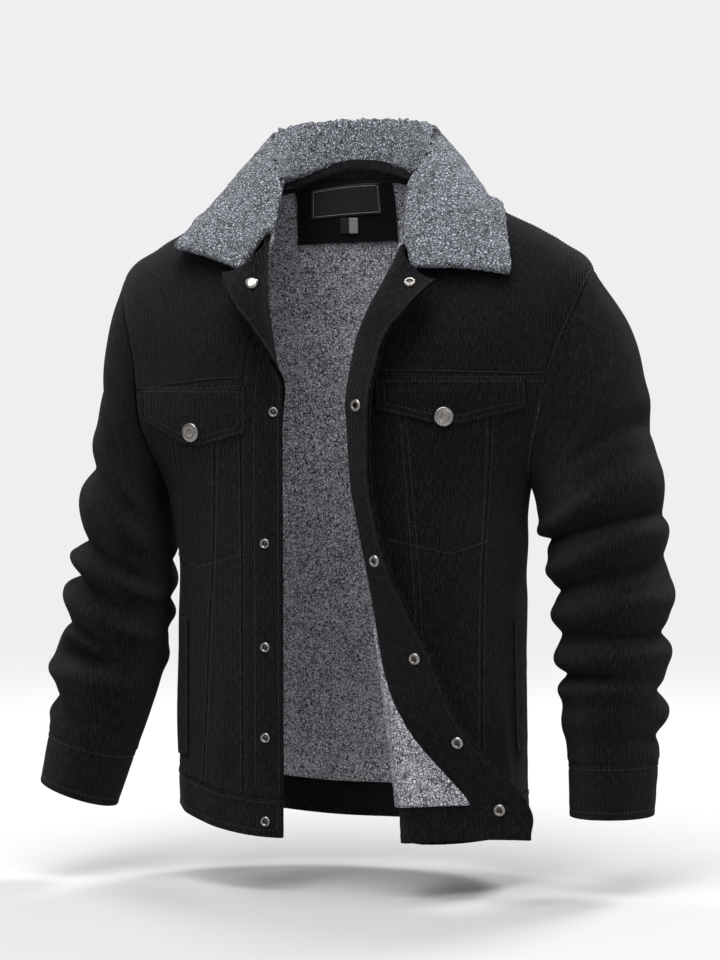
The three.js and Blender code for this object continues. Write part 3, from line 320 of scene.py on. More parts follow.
# Rows of a front piece at a share of its width: below the yoke seam, above it, or both
def lowerRow(side, share, v):
    return mix(firstRow, yokeRow(side, share, -cloth["seamGap"] / 2), v)


def upperRow(side, share, v):
    return mix(yokeRow(side, share, cloth["seamGap"] / 2), lastRow, v)


def fullRow(side, share, v):
    middle = yokeRow(side, share, 0)
    split = 0.6
    low = mix(firstRow, middle, v / split)
    high = mix(middle, lastRow, (v - split) / (1 - split))
    return np.where(v < split, low, high)


# Grid places, closer together next to the seams at both ends
def places(count, tight=0.09):
    s = np.linspace(0, 1, count + 1)
    return s - tight * np.sin(2 * math.pi * s)


# A grid of points on a front between two of its seams
def frontGrid(side, seams, rowAt, columns, rows, inset=0.25):
    u = places(columns)[None, :]
    v = places(rows, 0.04)[:, None]
    startSeam, endSeam = seams
    row = rowAt(side, 0 * u, v)
    for _ in range(4):
        lines = frontSeams(side, row + 0 * u)
        start, end = lines[startSeam], lines[endSeam]
        distance = mix(start + (inset if startSeam != "edge" else 0), end - inset, u)
        share = np.clip((distance - lines["placket"]) / (lines["side"] - lines["placket"]), 0, 1)
        row = rowAt(side, share, v)
    return frontPoint(side, distance, row), distance, row


# Outward normals of a front, from its surface rather than from a grid on it
def frontNormals(side, distance, row):
    across = frontPoint(side, distance + 0.5, row) - frontPoint(side, distance - 0.5, row)
    up = frontPoint(side, distance, row + 0.01) - frontPoint(side, distance, row - 0.01)
    return unit(np.cross(across, up)) * signOf[side]


def backNormalsAt(angle, row):
    low, high = np.clip(angle - 0.3, 0, 180), np.clip(angle + 0.3, 0, 180)
    across = backBody(high, row) - backBody(low, row)
    up = backBody(angle, row + 0.01) - backBody(angle, row - 0.01)
    return unit(np.cross(across, up))


# Layered value noise from a seeded lattice, for folds and pile
latticeSize = 32
noiseTable = np.random.default_rng(11).random((latticeSize, latticeSize, latticeSize))


def latticeAt(x, y, z):
    return noiseTable[x % latticeSize, y % latticeSize, z % latticeSize]


def softNoise(points, size):
    p = np.asarray(points, float) / size
    i = np.floor(p).astype(int)
    f = p - i
    f = f * f * (3 - 2 * f)
    value = 0.0
    for dx in (0, 1):
        for dy in (0, 1):
            for dz in (0, 1):
                corner = latticeAt(i[..., 0] + dx, i[..., 1] + dy, i[..., 2] + dz)
                wx = f[..., 0] if dx else 1 - f[..., 0]
                wy = f[..., 1] if dy else 1 - f[..., 1]
                wz = f[..., 2] if dz else 1 - f[..., 2]
                value = value + corner * wx * wy * wz
    return value * 2 - 1


# Height of curly tufts: a dome round each scattered tuft centre
def tuftHeight(points, size):
    p = np.asarray(points, float) / size
    cell = np.floor(p).astype(int)
    nearest = np.full(p.shape[:-1], 9.0)
    for dx in (-1, 0, 1):
        for dy in (-1, 0, 1):
            for dz in (-1, 0, 1):
                c = cell + np.array([dx, dy, dz])
                centre = np.stack([latticeAt(c[..., 0] + 5 * k, c[..., 1] + 11 * k, c[..., 2] + 17 * k)
                                   for k in (0, 1, 2)], axis=-1)
                nearest = np.minimum(nearest, np.sum((c + centre - p) ** 2, axis=-1))
    return np.sqrt(np.clip(1 - nearest, 0, 1))


def gridNormals(points, sign, around=False):
    if around:
        wrapped = np.concatenate([points[:, -2:-1], points, points[:, 1:2]], axis=1)
        du = wrapped[:, 2:] - wrapped[:, :-2]
    else:
        du = np.gradient(points, axis=1)
    dv = np.gradient(points, axis=0)
    return unit(np.cross(du, dv)) * sign


# Distances along the cloth from each border of a grid, in mm: left, right, bottom, top
def borderDistances(points):
    alongU = np.concatenate([np.zeros((points.shape[0], 1)),
                             np.cumsum(np.linalg.norm(np.diff(points, axis=1), axis=-1), axis=1)], axis=1)
    alongV = np.concatenate([np.zeros((1, points.shape[1])),
                             np.cumsum(np.linalg.norm(np.diff(points, axis=0), axis=-1), axis=0)], axis=0)
    return {"left": alongU, "right": alongU[:, -1:] - alongU, "bottom": alongV, "top": alongV[-1:] - alongV}


def nearestBorder(borders, names=("left", "right", "bottom", "top")):
    return np.minimum.reduce([borders[name] for name in names])


seamLook = {
    "sink": 0.9,            # how deep a seam's edge turns in
    "sinkWidth": 1.3,
    "padHeight": 0.3,       # the folded allowance under the topstitching
    "padWidth": 9.0,
    "padFade": 2.5,
    "puckerHeight": 0.4,
    "puckerLength": 13.0,
    "puckerAt": 5.4,
    "puckerWidth": 7.0,
}


# How far the cloth stands off its base next to its seams
def seamRelief(points, borders, seams):
    relief = np.zeros(points.shape[:2])
    pucker = softNoise(points, seamLook["puckerLength"])
    for name in seams:
        d = borders[name]
        relief -= seamLook["sink"] * softLine(d, 0, seamLook["sinkWidth"])
        relief += seamLook["padHeight"] * smooth((seamLook["padWidth"] - d) / seamLook["padFade"])
        relief += seamLook["puckerHeight"] * softLine(d, seamLook["puckerAt"], seamLook["puckerWidth"]) * pucker
    return relief


def meshFromArrays(name, points, quads, weave=None, triangles=None):
    mesh = bpy.data.meshes.new(name)
    faces = np.asarray(quads).reshape(-1, 4)
    mesh.vertices.add(len(points))
    mesh.vertices.foreach_set("co", (np.asarray(points, float) / 1000).ravel())
    loops = faces.ravel()
    starts = np.arange(len(faces)) * 4
    if triangles is not None and len(triangles):
        tri = np.asarray(triangles).reshape(-1, 3)
        starts = np.concatenate([starts, len(loops) + np.arange(len(tri)) * 3])
        loops = np.concatenate([loops, tri.ravel()])
    mesh.loops.add(len(loops))
    mesh.loops.foreach_set("vertex_index", loops.astype(np.int32))
    mesh.polygons.add(len(starts))
    mesh.polygons.foreach_set("loop_start", starts.astype(np.int32))
    mesh.update(calc_edges=True)
    mesh.validate()
    mesh.polygons.foreach_set("use_smooth", np.ones(len(mesh.polygons), bool))
    if weave is not None:
        layer = mesh.attributes.new("weave", "FLOAT_VECTOR", "POINT")
        layer.data.foreach_set("vector", np.asarray(weave, float).ravel())
    thing = bpy.data.objects.new(name, mesh)
    bpy.context.collection.objects.link(thing)
    return thing


# Quads between two runs of point numbers, closed into a ring or ending where they started
def ringQuads(ring, fresh, around):
    if around:
        return np.stack([ring[:-1], fresh[:-1], fresh[1:], ring[1:]], axis=-1)
    return np.stack([ring, fresh, np.roll(fresh, -1), np.roll(ring, -1)], axis=-1)


# A cloth sheet from a grid of outer points, with rounded rims and, where asked, its inner face
def clothSheet(name, outer, normals, weave, thick, inner=False, around=False, reach=1.0):
    rows, columns = outer.shape[:2]
    half = thick / 2
    index = np.arange(rows * columns).reshape(rows, columns)
    if around:
        index[:, -1] = index[:, 0]
        loops = [[(0, j) for j in range(columns)], [(rows - 1, j) for j in range(columns - 1, -1, -1)]]
    else:
        loops = [[(0, j) for j in range(columns)] + [(i, columns - 1) for i in range(1, rows)]
                 + [(rows - 1, j) for j in range(columns - 2, -1, -1)] + [(i, 0) for i in range(rows - 2, 0, -1)]]
    quads = [np.stack([index[:-1, :-1], index[:-1, 1:], index[1:, 1:], index[1:, :-1]], axis=-1).reshape(-1, 4)]
    points, weaves = [outer.reshape(-1, 3)], [weave.reshape(-1, 3)]
    total = rows * columns
    if inner:
        innerIndex = index + total
        points.append((outer - normals * thick).reshape(-1, 3))
        weaves.append(weave.reshape(-1, 3))
        quads.append(np.stack([innerIndex[:-1, :-1], innerIndex[1:, :-1], innerIndex[1:, 1:], innerIndex[:-1, 1:]],
                              axis=-1).reshape(-1, 4))
        total += rows * columns
    du, dv = unit(np.gradient(outer, axis=1)), unit(np.gradient(outer, axis=0))
    for loop in loops:
        i, j = np.array(loop).T
        out = np.where((i == 0)[:, None], -dv[i, j], 0) + np.where((i == rows - 1)[:, None], dv[i, j], 0)
        if not around:
            out += np.where((j == 0)[:, None], -du[i, j], 0) + np.where((j == columns - 1)[:, None], du[i, j], 0)
        out = unit(out)
        ring = index[i, j]
        for turn in (45, 90, 135) if inner else (45, 90, 135, 180):
            angle = math.radians(turn)
            aside, back = half * reach * math.sin(angle), half * (1 - math.cos(angle))
            points.append(outer[i, j] + out * aside - normals[i, j] * back)
            weaves.append(weave[i, j])
            fresh = np.arange(len(loop)) + total
            total += len(loop)
            if around:
                fresh[-1] = fresh[0]
            quads.append(ringQuads(ring, fresh, around))
            ring = fresh
        if inner:
            quads.append(ringQuads(ring, innerIndex[i, j], around))
    return meshFromArrays(name, np.concatenate(points), np.concatenate(quads), np.concatenate(weaves))


# Places in the cloth's own weave, in mm across and along the wales
def weaveOf(across, along):
    return stack(across, along, 0)


# Outer points, normals and border distances of the pieces that carry stitches
surfaces = {}


# Puts a finished piece in the frame: what it rides on, stands for, and takes its finish from
def place(piece, nodes, slotName, material, base=None, held="hung", restsOn=()):
    piece.data.materials.append(material)
    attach(piece, "root")
    if nodes:
        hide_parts(*nodes)


# Materials
def newGroup(name, inputs, outputs):
    tree = bpy.data.node_groups.new(name, "ShaderNodeTree")
    for socketName, kind, value in inputs:
        tree.interface.new_socket(socketName, in_out="INPUT", socket_type=kind).default_value = value
    for socketName, kind in outputs:
        tree.interface.new_socket(socketName, in_out="OUTPUT", socket_type=kind)
    return tree, tree.nodes.new("NodeGroupInput"), tree.nodes.new("NodeGroupOutput")


# A socket takes a link from another node's output, or else a plain value
def setSocket(tree, socket, value):
    if hasattr(value, "is_linked"):
        tree.links.new(value, socket)
    else:
        socket.default_value = value


def mathNode(tree, operation, a, b=0.0):
    node = tree.nodes.new("ShaderNodeMath")
    node.operation = operation
    setSocket(tree, node.inputs[0], a)
    setSocket(tree, node.inputs[1], b)
    return node.outputs[0]


def vectorNode(tree, operation, a, b):
    node = tree.nodes.new("ShaderNodeVectorMath")
    node.operation = operation
    setSocket(tree, node.inputs[0], a)
    setSocket(tree, node.inputs["Scale"] if operation == "SCALE" else node.inputs[1], b)
    return node.outputs[0]


# The mix node has A and B sockets for each kind of value, so the colour ones are picked by type
def colourMix(tree, factor, a, b):
    node = tree.nodes.new("ShaderNodeMix")
    node.data_type = "RGBA"
    colours = {s.name: s for s in node.inputs if s.type == "RGBA"}
    for socket, value in ((node.inputs[0], factor), (colours["A"], a), (colours["B"], b)):
        setSocket(tree, socket, value)
    return [s for s in node.outputs if s.type == "RGBA"][0]


def noiseNode(tree, vector, scale, detail=2.0, roughness=0.5, output="Fac"):
    node = tree.nodes.new("ShaderNodeTexNoise")
    for name, value in (("Vector", vector), ("Scale", scale), ("Detail", detail), ("Roughness", roughness)):
        setSocket(tree, node.inputs[name], value)
    return node.outputs[output]


def rampNode(tree, value, low, high):
    node = tree.nodes.new("ShaderNodeMapRange")
    node.interpolation_type = "SMOOTHSTEP"
    tree.links.new(value, node.inputs["Value"])
    node.inputs["From Min"].default_value = low
    node.inputs["From Max"].default_value = high
    return node.outputs[0]


# Ribs of pile along the cloth: the weave attribute carries mm across and along it
def corduroyGroup():
    tree, inputs, outputs = newGroup("corduroyRibs", [
        ("Wale Width", "NodeSocketFloat", 2.3),
        ("Pile Colour", "NodeSocketColor", (0.02, 0.02, 0.023, 1)),
        ("Groove Shade Colour", "NodeSocketColor", (0.004, 0.004, 0.005, 1)),
        ("Brushed Colour", "NodeSocketColor", (0.05, 0.05, 0.056, 1)),
        ("Brushed Amount", "NodeSocketFloat", 0.5),
    ], [("Colour", "NodeSocketColor"), ("Height", "NodeSocketFloat"), ("Roughness", "NodeSocketFloat")])
    weave = tree.nodes.new("ShaderNodeAttribute")
    weave.attribute_name = "weave"
    split = tree.nodes.new("ShaderNodeSeparateXYZ")
    tree.links.new(weave.outputs["Vector"], split.inputs[0])
    wobble = noiseNode(tree, weave.outputs["Vector"], 0.08, 1.0)
    across = mathNode(tree, "ADD", split.outputs["X"], mathNode(tree, "MULTIPLY", wobble, 0.8))
    turns = mathNode(tree, "DIVIDE", across, inputs.outputs["Wale Width"])
    part = mathNode(tree, "FRACT", turns)
    fold = mathNode(tree, "ABSOLUTE", mathNode(tree, "SUBTRACT", mathNode(tree, "MULTIPLY", part, 2.0), 1.0))
    rib = mathNode(tree, "SUBTRACT", 1.0, mathNode(tree, "POWER", fold, 2.0))
    # streaks run along the wales, so each rib is brushed lighter and darker down its length
    streakSpace = vectorNode(tree, "MULTIPLY", weave.outputs["Vector"], (0.75, 0.14, 1.0))
    streaks = noiseNode(tree, streakSpace, 1.0, 2.0, 0.6)
    pile = noiseNode(tree, weave.outputs["Vector"], 1.1, 3.0, 0.65)
    brushed = mathNode(tree, "MULTIPLY", rampNode(tree, streaks, 0.42, 0.66), inputs.outputs["Brushed Amount"])
    # painted shade: the colour darkens from each wale's crown into the groove between the wales
    base = colourMix(tree, rib, inputs.outputs["Groove Shade Colour"], inputs.outputs["Pile Colour"])
    lit = mathNode(tree, "MULTIPLY", mathNode(tree, "MULTIPLY", brushed, rib), mathNode(tree, "ADD", pile, 0.4))
    colour = colourMix(tree, lit, base, inputs.outputs["Brushed Colour"])
    tree.links.new(colour, outputs.inputs["Colour"])
    height = mathNode(tree, "ADD", rib, mathNode(tree, "MULTIPLY", pile, 0.6))
    tree.links.new(height, outputs.inputs["Height"])
    rough = mathNode(tree, "SUBTRACT", 0.98, mathNode(tree, "MULTIPLY", pile, 0.1))
    tree.links.new(rough, outputs.inputs["Roughness"])
    return tree


# Curly tufts: bent worm-like curls over rounded clumps, with lighter tips, painted shade in the gaps between the
# clumps and painted highlights on the tops of the curls
def sherpaGroup():
    tree, inputs, outputs = newGroup("sherpaCurls", [
        ("Curl Scale", "NodeSocketFloat", 190.0),
        ("Clump Scale", "NodeSocketFloat", 330.0),
        ("Tip Colour", "NodeSocketColor", (0.4, 0.42, 0.46, 1)),
        ("Gap Shade Colour", "NodeSocketColor", (0.12, 0.13, 0.15, 1)),
        ("Curl Highlight Colour", "NodeSocketColor", (0.75, 0.76, 0.8, 1)),
    ], [("Colour", "NodeSocketColor"), ("Height", "NodeSocketFloat")])
    vector = tree.nodes.new("ShaderNodeTexCoord").outputs["Object"]
    bend = noiseNode(tree, vector, 330.0, output="Color")
    bent = vectorNode(tree, "ADD", vector, vectorNode(tree, "SCALE", bend, 0.0045))
    cells = tree.nodes.new("ShaderNodeTexVoronoi")
    cells.feature = "DISTANCE_TO_EDGE"
    tree.links.new(bent, cells.inputs["Vector"])
    tree.links.new(inputs.outputs["Clump Scale"], cells.inputs["Scale"])
    dome = rampNode(tree, cells.outputs["Distance"], -0.02, 0.24)
    curlNoise = noiseNode(tree, bent, inputs.outputs["Curl Scale"], 1.0)
    offCentre = mathNode(tree, "ABSOLUTE", mathNode(tree, "SUBTRACT", curlNoise, 0.5))
    curl = rampNode(tree, offCentre, 0.005, 0.07)
    fine = noiseNode(tree, vector, 1100.0, 2.0, 0.6)
    broad = noiseNode(tree, vector, 45.0, 2.0, 0.5)
    body = mathNode(tree, "ADD", mathNode(tree, "MULTIPLY", dome, 0.6), mathNode(tree, "MULTIPLY", curl, 0.4))
    body = mathNode(tree, "ADD", body, mathNode(tree, "MULTIPLY", mathNode(tree, "SUBTRACT", fine, 0.5), 0.3))
    shade = rampNode(tree, mathNode(tree, "ADD", body, mathNode(tree, "MULTIPLY", broad, 0.25)), 0.3, 1.05)
    # painted shade: the colour darkens toward the edges of each clump, into the gaps between them
    colour = colourMix(tree, shade, inputs.outputs["Gap Shade Colour"], inputs.outputs["Tip Colour"])
    # painted highlights: the highest parts of the curls turn to a near-white colour
    curlHighlights = rampNode(tree, body, 0.8, 1.15)
    colour = colourMix(tree, curlHighlights, colour, inputs.outputs["Curl Highlight Colour"])
    tree.links.new(colour, outputs.inputs["Colour"])
    tree.links.new(body, outputs.inputs["Height"])
    return tree


# Plain close weave in two directions, with slight wear
def wovenGroup():
    tree, inputs, outputs = newGroup("plainWeave", [
        ("Thread Width", "NodeSocketFloat", 0.5),
        ("Thread Colour", "NodeSocketColor", (0.02, 0.02, 0.02, 1)),
        ("Shade Colour", "NodeSocketColor", (0.008, 0.008, 0.008, 1)),
    ], [("Colour", "NodeSocketColor"), ("Height", "NodeSocketFloat")])
    weave = tree.nodes.new("ShaderNodeAttribute")
    weave.attribute_name = "weave"
    split = tree.nodes.new("ShaderNodeSeparateXYZ")
    tree.links.new(weave.outputs["Vector"], split.inputs[0])
    waves = []
    for axis in ("X", "Y"):
        turns = mathNode(tree, "DIVIDE", split.outputs[axis], inputs.outputs["Thread Width"])
        waves.append(mathNode(tree, "SINE", mathNode(tree, "MULTIPLY", turns, math.pi)))
    cross = mathNode(tree, "MULTIPLY", waves[0], waves[1])
    fibre = noiseNode(tree, weave.outputs["Vector"], 0.9, 3.0, 0.6)
    factor = rampNode(tree, mathNode(tree, "ADD", cross, fibre), -0.2, 1.3)
    colour = colourMix(tree, factor, inputs.outputs["Shade Colour"], inputs.outputs["Thread Colour"])
    tree.links.new(colour, outputs.inputs["Colour"])
    tree.links.new(mathNode(tree, "ADD", cross, mathNode(tree, "MULTIPLY", fibre, 0.4)), outputs.inputs["Height"])
    return tree


# Fine scuffs on plated metal
def scuffGroup():
    tree, inputs, outputs = newGroup("platedScuffs", [
        ("Bright Colour", "NodeSocketColor", (0.75, 0.7, 0.68, 1)),
        ("Dull Colour", "NodeSocketColor", (0.5, 0.46, 0.44, 1)),
    ], [("Colour", "NodeSocketColor"), ("Height", "NodeSocketFloat"), ("Roughness", "NodeSocketFloat")])
    vector = tree.nodes.new("ShaderNodeTexCoord").outputs["Object"]
    scuff = noiseNode(tree, vector, 600.0, 4.0, 0.65)
    tree.links.new(colourMix(tree, rampNode(tree, scuff, 0.4, 0.7), inputs.outputs["Bright Colour"],
                             inputs.outputs["Dull Colour"]), outputs.inputs["Colour"])
    tree.links.new(scuff, outputs.inputs["Height"])
    tree.links.new(mathNode(tree, "ADD", 0.2, mathNode(tree, "MULTIPLY", scuff, 0.25)), outputs.inputs["Roughness"])
    return tree


groups = {"corduroy": corduroyGroup(), "sherpa": sherpaGroup(), "woven": wovenGroup(), "metal": scuffGroup()}


def finishMaterial(name, groupName, values, bump, shader):
    material = bpy.data.materials.new(name)
    material.use_nodes = True
    tree = material.node_tree
    principled = tree.nodes["Principled BSDF"]
    effect = tree.nodes.new("ShaderNodeGroup")
    effect.node_tree = groups[groupName]
    for socketName, value in values.items():
        effect.inputs[socketName].default_value = value
    tree.links.new(effect.outputs["Colour"], principled.inputs["Base Color"])
    if "Roughness" in effect.outputs:
        tree.links.new(effect.outputs["Roughness"], principled.inputs["Roughness"])
    bumpNode = tree.nodes.new("ShaderNodeBump")
    bumpNode.inputs["Strength"].default_value = bump["strength"]
    bumpNode.inputs["Distance"].default_value = bump["distance"]
    tree.links.new(effect.outputs["Height"], bumpNode.inputs["Height"])
    tree.links.new(bumpNode.outputs["Normal"], principled.inputs["Normal"])
    for socketName, value in shader.items():
        principled.inputs[socketName].default_value = value
    return material


softCloth = {"Roughness": 0.98, "Specular IOR Level": 0.04, "Sheen Weight": 0.04, "Sheen Roughness": 0.5,
             "Sheen Tint": (0.8, 0.8, 0.86, 1)}
# the groove colour of the corduroy is painted shade between the wales
corduroy = finishMaterial("blackCorduroy", "corduroy", {
    "Pile Colour": (0.0045, 0.0045, 0.0053, 1), "Groove Shade Colour": (0.0003, 0.0003, 0.0004, 1),
    "Brushed Colour": (0.034, 0.034, 0.039, 1), "Brushed Amount": 0.5,
}, {"strength": 1.0, "distance": 0.0011}, softCloth)
softPile = {"Roughness": 0.95, "Specular IOR Level": 0.1, "Sheen Weight": 0.1, "Sheen Roughness": 0.5}
# both sherpa copies below carry painted shade in the gaps between clumps and painted highlights on the curls
sherpa = finishMaterial("greySherpa", "sherpa", {
    "Tip Colour": (0.25, 0.262, 0.3, 1), "Gap Shade Colour": (0.03, 0.033, 0.039, 1),
    "Curl Highlight Colour": (0.42, 0.44, 0.485, 1),
}, {"strength": 1.0, "distance": 0.0026}, softPile)
# the lining's copy of the sherpa has colours about twice as light as the collar's: painted light that makes up for
# the shade inside the jacket
liningSherpaPaintedLighter = finishMaterial("sherpaPaintedLighter", "sherpa", {
    "Tip Colour": (0.58, 0.592, 0.632, 1), "Gap Shade Colour": (0.05, 0.053, 0.061, 1),
    "Curl Highlight Colour": (0.8, 0.81, 0.85, 1), "Curl Scale": 210.0, "Clump Scale": 370.0,
}, {"strength": 1.0, "distance": 0.0022}, softPile)
thread = finishMaterial("seamThread", "woven", {
    "Thread Width": 0.3, "Thread Colour": (0.06, 0.06, 0.066, 1), "Shade Colour": (0.02, 0.02, 0.023, 1),
}, {"strength": 0.4, "distance": 0.0002}, {"Roughness": 0.6, "Specular IOR Level": 0.2})
patchCloth = finishMaterial("patchCloth", "woven", {
    "Thread Width": 0.6, "Thread Colour": (0.008, 0.009, 0.011, 1), "Shade Colour": (0.003, 0.0033, 0.004, 1),
}, {"strength": 0.5, "distance": 0.0003}, {"Roughness": 0.9, "Specular IOR Level": 0.1})
labelCloth = finishMaterial("labelCloth", "woven", {
    "Thread Width": 0.4, "Thread Colour": (0.022, 0.023, 0.026, 1), "Shade Colour": (0.011, 0.011, 0.013, 1),
}, {"strength": 0.35, "distance": 0.0002}, {"Roughness": 0.6, "Specular IOR Level": 0.2})
labelEdge = finishMaterial("labelEdge", "woven", {
    "Thread Width": 0.4, "Thread Colour": (0.3, 0.3, 0.31, 1), "Shade Colour": (0.16, 0.16, 0.17, 1),
}, {"strength": 0.35, "distance": 0.0002}, {"Roughness": 0.6})
snapMetal = finishMaterial("snapMetal", "metal", {
    "Bright Colour": (0.36, 0.335, 0.315, 1), "Dull Colour": (0.14, 0.128, 0.12, 1),
}, {"strength": 0.15, "distance": 0.0001}, {"Metallic": 1.0})
darkMetal = finishMaterial("tarnishedMetal", "metal", {
    "Bright Colour": (0.07, 0.064, 0.06, 1), "Dull Colour": (0.02, 0.018, 0.017, 1),
}, {"strength": 0.3, "distance": 0.0002}, {"Metallic": 1.0})
print("materials made")


# Fronts: plackets, panels under the yoke, yokes, facings and linings
frontLook = {
    # name: seams, rows, columns x rows of the grid, borders with seams
    "placket": {"seams": ("edge", "placket"), "rows": fullRow, "grid": (16, 250), "sewn": ("right", "bottom")},
    "centre": {"seams": ("placket", "near"), "rows": lowerRow, "grid": (70, 170),
               "sewn": ("left", "right", "bottom", "top")},
    "middle": {"seams": ("near", "far"), "rows": lowerRow, "grid": (36, 170),
               "sewn": ("left", "right", "bottom", "top")},
    "side": {"seams": ("far", "side"), "rows": lowerRow, "grid": (30, 170),
             "sewn": ("left", "bottom", "top", "right")},
    "yoke": {"seams": ("placket", "side"), "rows": upperRow, "grid": (100, 80),
             "sewn": ("left", "right", "bottom")},
    "facing": {"seams": ("edge", "facing"), "rows": fullRow, "grid": (20, 220), "sewn": ()},
    "lining": {"seams": ("facing", "side"), "rows": fullRow, "grid": (104, 220), "sewn": ()},
}
frontNodes = {"placket": "placket_{}", "centre": "front_{}_centre", "middle": "front_{}_middle",
              "side": "front_{}_side", "yoke": "yoke_{}"}
facingLook = {"grooveAt": 3.2, "grooveWidth": 1.0, "grooveDeep": 0.8, "ripple": 0.25, "rippleSize": 16.0}
pile = {"size": 4.6, "height": 1.5, "sink": 0.4, "swell": 0.8, "swellSize": 24.0, "edge": 20.0}
yokeWaleStart = 90      # mm, so a yoke's pile doesn't repeat that of the panels below it


# Base grid of a front piece with its outward normals and its distances from the free edge
def frontBase(side, part):
    look = frontLook[part]
    columns, rows = look["grid"]
    points, distance, row = frontGrid(side, look["seams"], look["rows"], columns, rows)
    return points, frontNormals(side, distance, row), distance


# Wales of a yoke run straight up from its bottom seam
def plumbWales(base):
    seam = base[0]
    toward = np.sign(seam[-1, 0] - seam[0, 0])
    out = np.maximum.accumulate(toward * (seam[:, 0] - seam[0, 0]))
    length = np.concatenate([[0], np.cumsum(np.linalg.norm(np.diff(seam, axis=0), axis=-1))])
    x = toward * (base[..., 0] - seam[0, 0])
    return np.interp(x, out, length) + np.minimum(x, 0) + np.maximum(x - out[-1], 0)


def buildShell(side, part):
    look = frontLook[part]
    base, normals, distance = frontBase(side, part)
    borders = borderDistances(base)
    relief = seamRelief(base, borders, look["sewn"])
    weave = weaveOf(distance, borders["bottom"])
    if part == "placket":
        relief += 0.5 * smooth(borders["right"] / 6)
    if part == "yoke":
        weave = weaveOf(plumbWales(base), borders["bottom"] + yokeWaleStart)
    outer = lifted(base, normals, relief)
    piece = clothSheet(f"{part}_{side}_corduroy", outer, normals, weave, cloth["shellSheet"])
    place(piece, [frontNodes[part].format(side)], "corduroy", corduroy, base)
    surfaces[f"{part}_{side}"] = (outer, normals, borders)


def buildFacing(side):
    base, normals, distance = frontBase(side, "facing")
    borders = borderDistances(base)
    groove = facingLook["grooveDeep"] * softLine(borders["left"], facingLook["grooveAt"], facingLook["grooveWidth"])
    relief = facingLook["ripple"] * softNoise(base, facingLook["rippleSize"]) - groove
    inward = lifted(base, -normals, 2 * cloth["shellThick"] + cloth["layerGap"] + relief)
    piece = clothSheet(f"facing_{side}_corduroy", inward, -normals, weaveOf(distance, borders["bottom"]),
                       cloth["shellSheet"])
    place(piece, [f"facing_{side}"], "corduroy", corduroy, base)
    surfaces[f"facing_{side}"] = (inward, -normals, borders)


def pileRelief(points, borders):
    tufts = tuftHeight(points, pile["size"]) * pile["height"]
    swell = pile["swell"] * softNoise(points, pile["swellSize"])
    return tufts - pile["sink"] + swell * smooth(nearestBorder(borders) / pile["edge"])


def weaveDown(points):
    return weaveOf(0, points[..., 2])


liningDepth = cloth["shellThick"] + cloth["layerGap"] + cloth["liningThick"]


def buildLining(side):
    base, normals, _ = frontBase(side, "lining")
    inward = base - normals * liningDepth
    inward = lifted(inward, -normals, pileRelief(inward, borderDistances(base)))
    piece = clothSheet(f"lining_{side}_sherpa", inward, -normals, weaveDown(inward), cloth["liningSheet"])
    place(piece, [f"lining_{side}"], "sherpa", liningSherpaPaintedLighter, base)


for side in signOf:
    for part in ("placket", "centre", "middle", "side", "yoke"):
        buildShell(side, part)
    buildFacing(side)
    buildLining(side)
print("fronts built")


# Back and its lining
backLook = {"grid": (150, 220), "liningGrid": (190, 250), "edgeAngle": 0.1, "foldEdge": 30.0,
            "thinFrom": 3.0, "thinOver": 13.0, "thinDepth": 3.6}

# Soft folds of the back: x, z, half length, half width, lean from upright, height
backFolds = [
    [150, -335, 105, 17, -34, 4.2], [118, -395, 90, 13, -40, -1.5], [172, -430, 80, 14, -22, 3.4],
    [-152, -325, 115, 18, 32, 4.4], [-116, -380, 95, 13, 38, -1.5], [-170, -440, 85, 14, 20, 3.4],
    [-62, -560, 92, 14, 6, 3.4], [42, -545, 112, 16, -5, 3.6], [112, -585, 70, 12, -10, 3.0],
    [-128, -590, 62, 12, 11, 2.8], [18, -455, 130, 13, 84, 2.8], [-30, -375, 105, 12, 97, 2.4],
    [98, -150, 95, 22, -14, 3.0], [-104, -140, 95, 22, 13, 3.0], [0, -620, 60, 11, 2, 2.0],
]


def foldHeights(points, folds):
    height = 0.0
    for x, z, halfLength, halfWidth, lean, high in folds:
        c, s = math.cos(math.radians(lean)), math.sin(math.radians(lean))
        outX, outZ = points[..., 0] - x, points[..., 2] - z
        height = height + high * np.exp(-((outZ * c + outX * s) / halfLength) ** 2
                                        - ((outX * c - outZ * s) / halfWidth) ** 2)
    return height


def backGrid(columns, rows):
    u = places(columns, 0.05)[None, :]
    row = mix(firstRow, lastRow, places(rows, 0.03))[:, None]
    start = armholeAngle("left", "back", row) + backLook["edgeAngle"]
    end = 180 - armholeAngle("right", "back", row) - backLook["edgeAngle"]
    angle = mix(start, end, u)
    return backBody(angle, row + 0 * u), backNormalsAt(angle, row + 0 * u)


backBase, backNormals = backGrid(*backLook["grid"])
backBorders = borderDistances(backBase)
backRelief = seamRelief(backBase, backBorders, ("left", "right", "bottom"))
backRelief = backRelief + foldHeights(backBase, backFolds) * smooth(nearestBorder(backBorders) / backLook["foldEdge"])
backOuter = lifted(backBase, backNormals, backRelief)
backWeave = weaveOf((backBorders["left"] - backBorders["right"]) / 2, backBorders["bottom"])
backPiece = clothSheet("back_corduroy", backOuter, backNormals, backWeave, cloth["shellSheet"])
place(backPiece, ["back"], "corduroy", corduroy, backBase)
surfaces["back"] = (backOuter, backNormals, backBorders)

liningBase, liningNormals = backGrid(*backLook["liningGrid"])
liningBorders = borderDistances(liningBase)
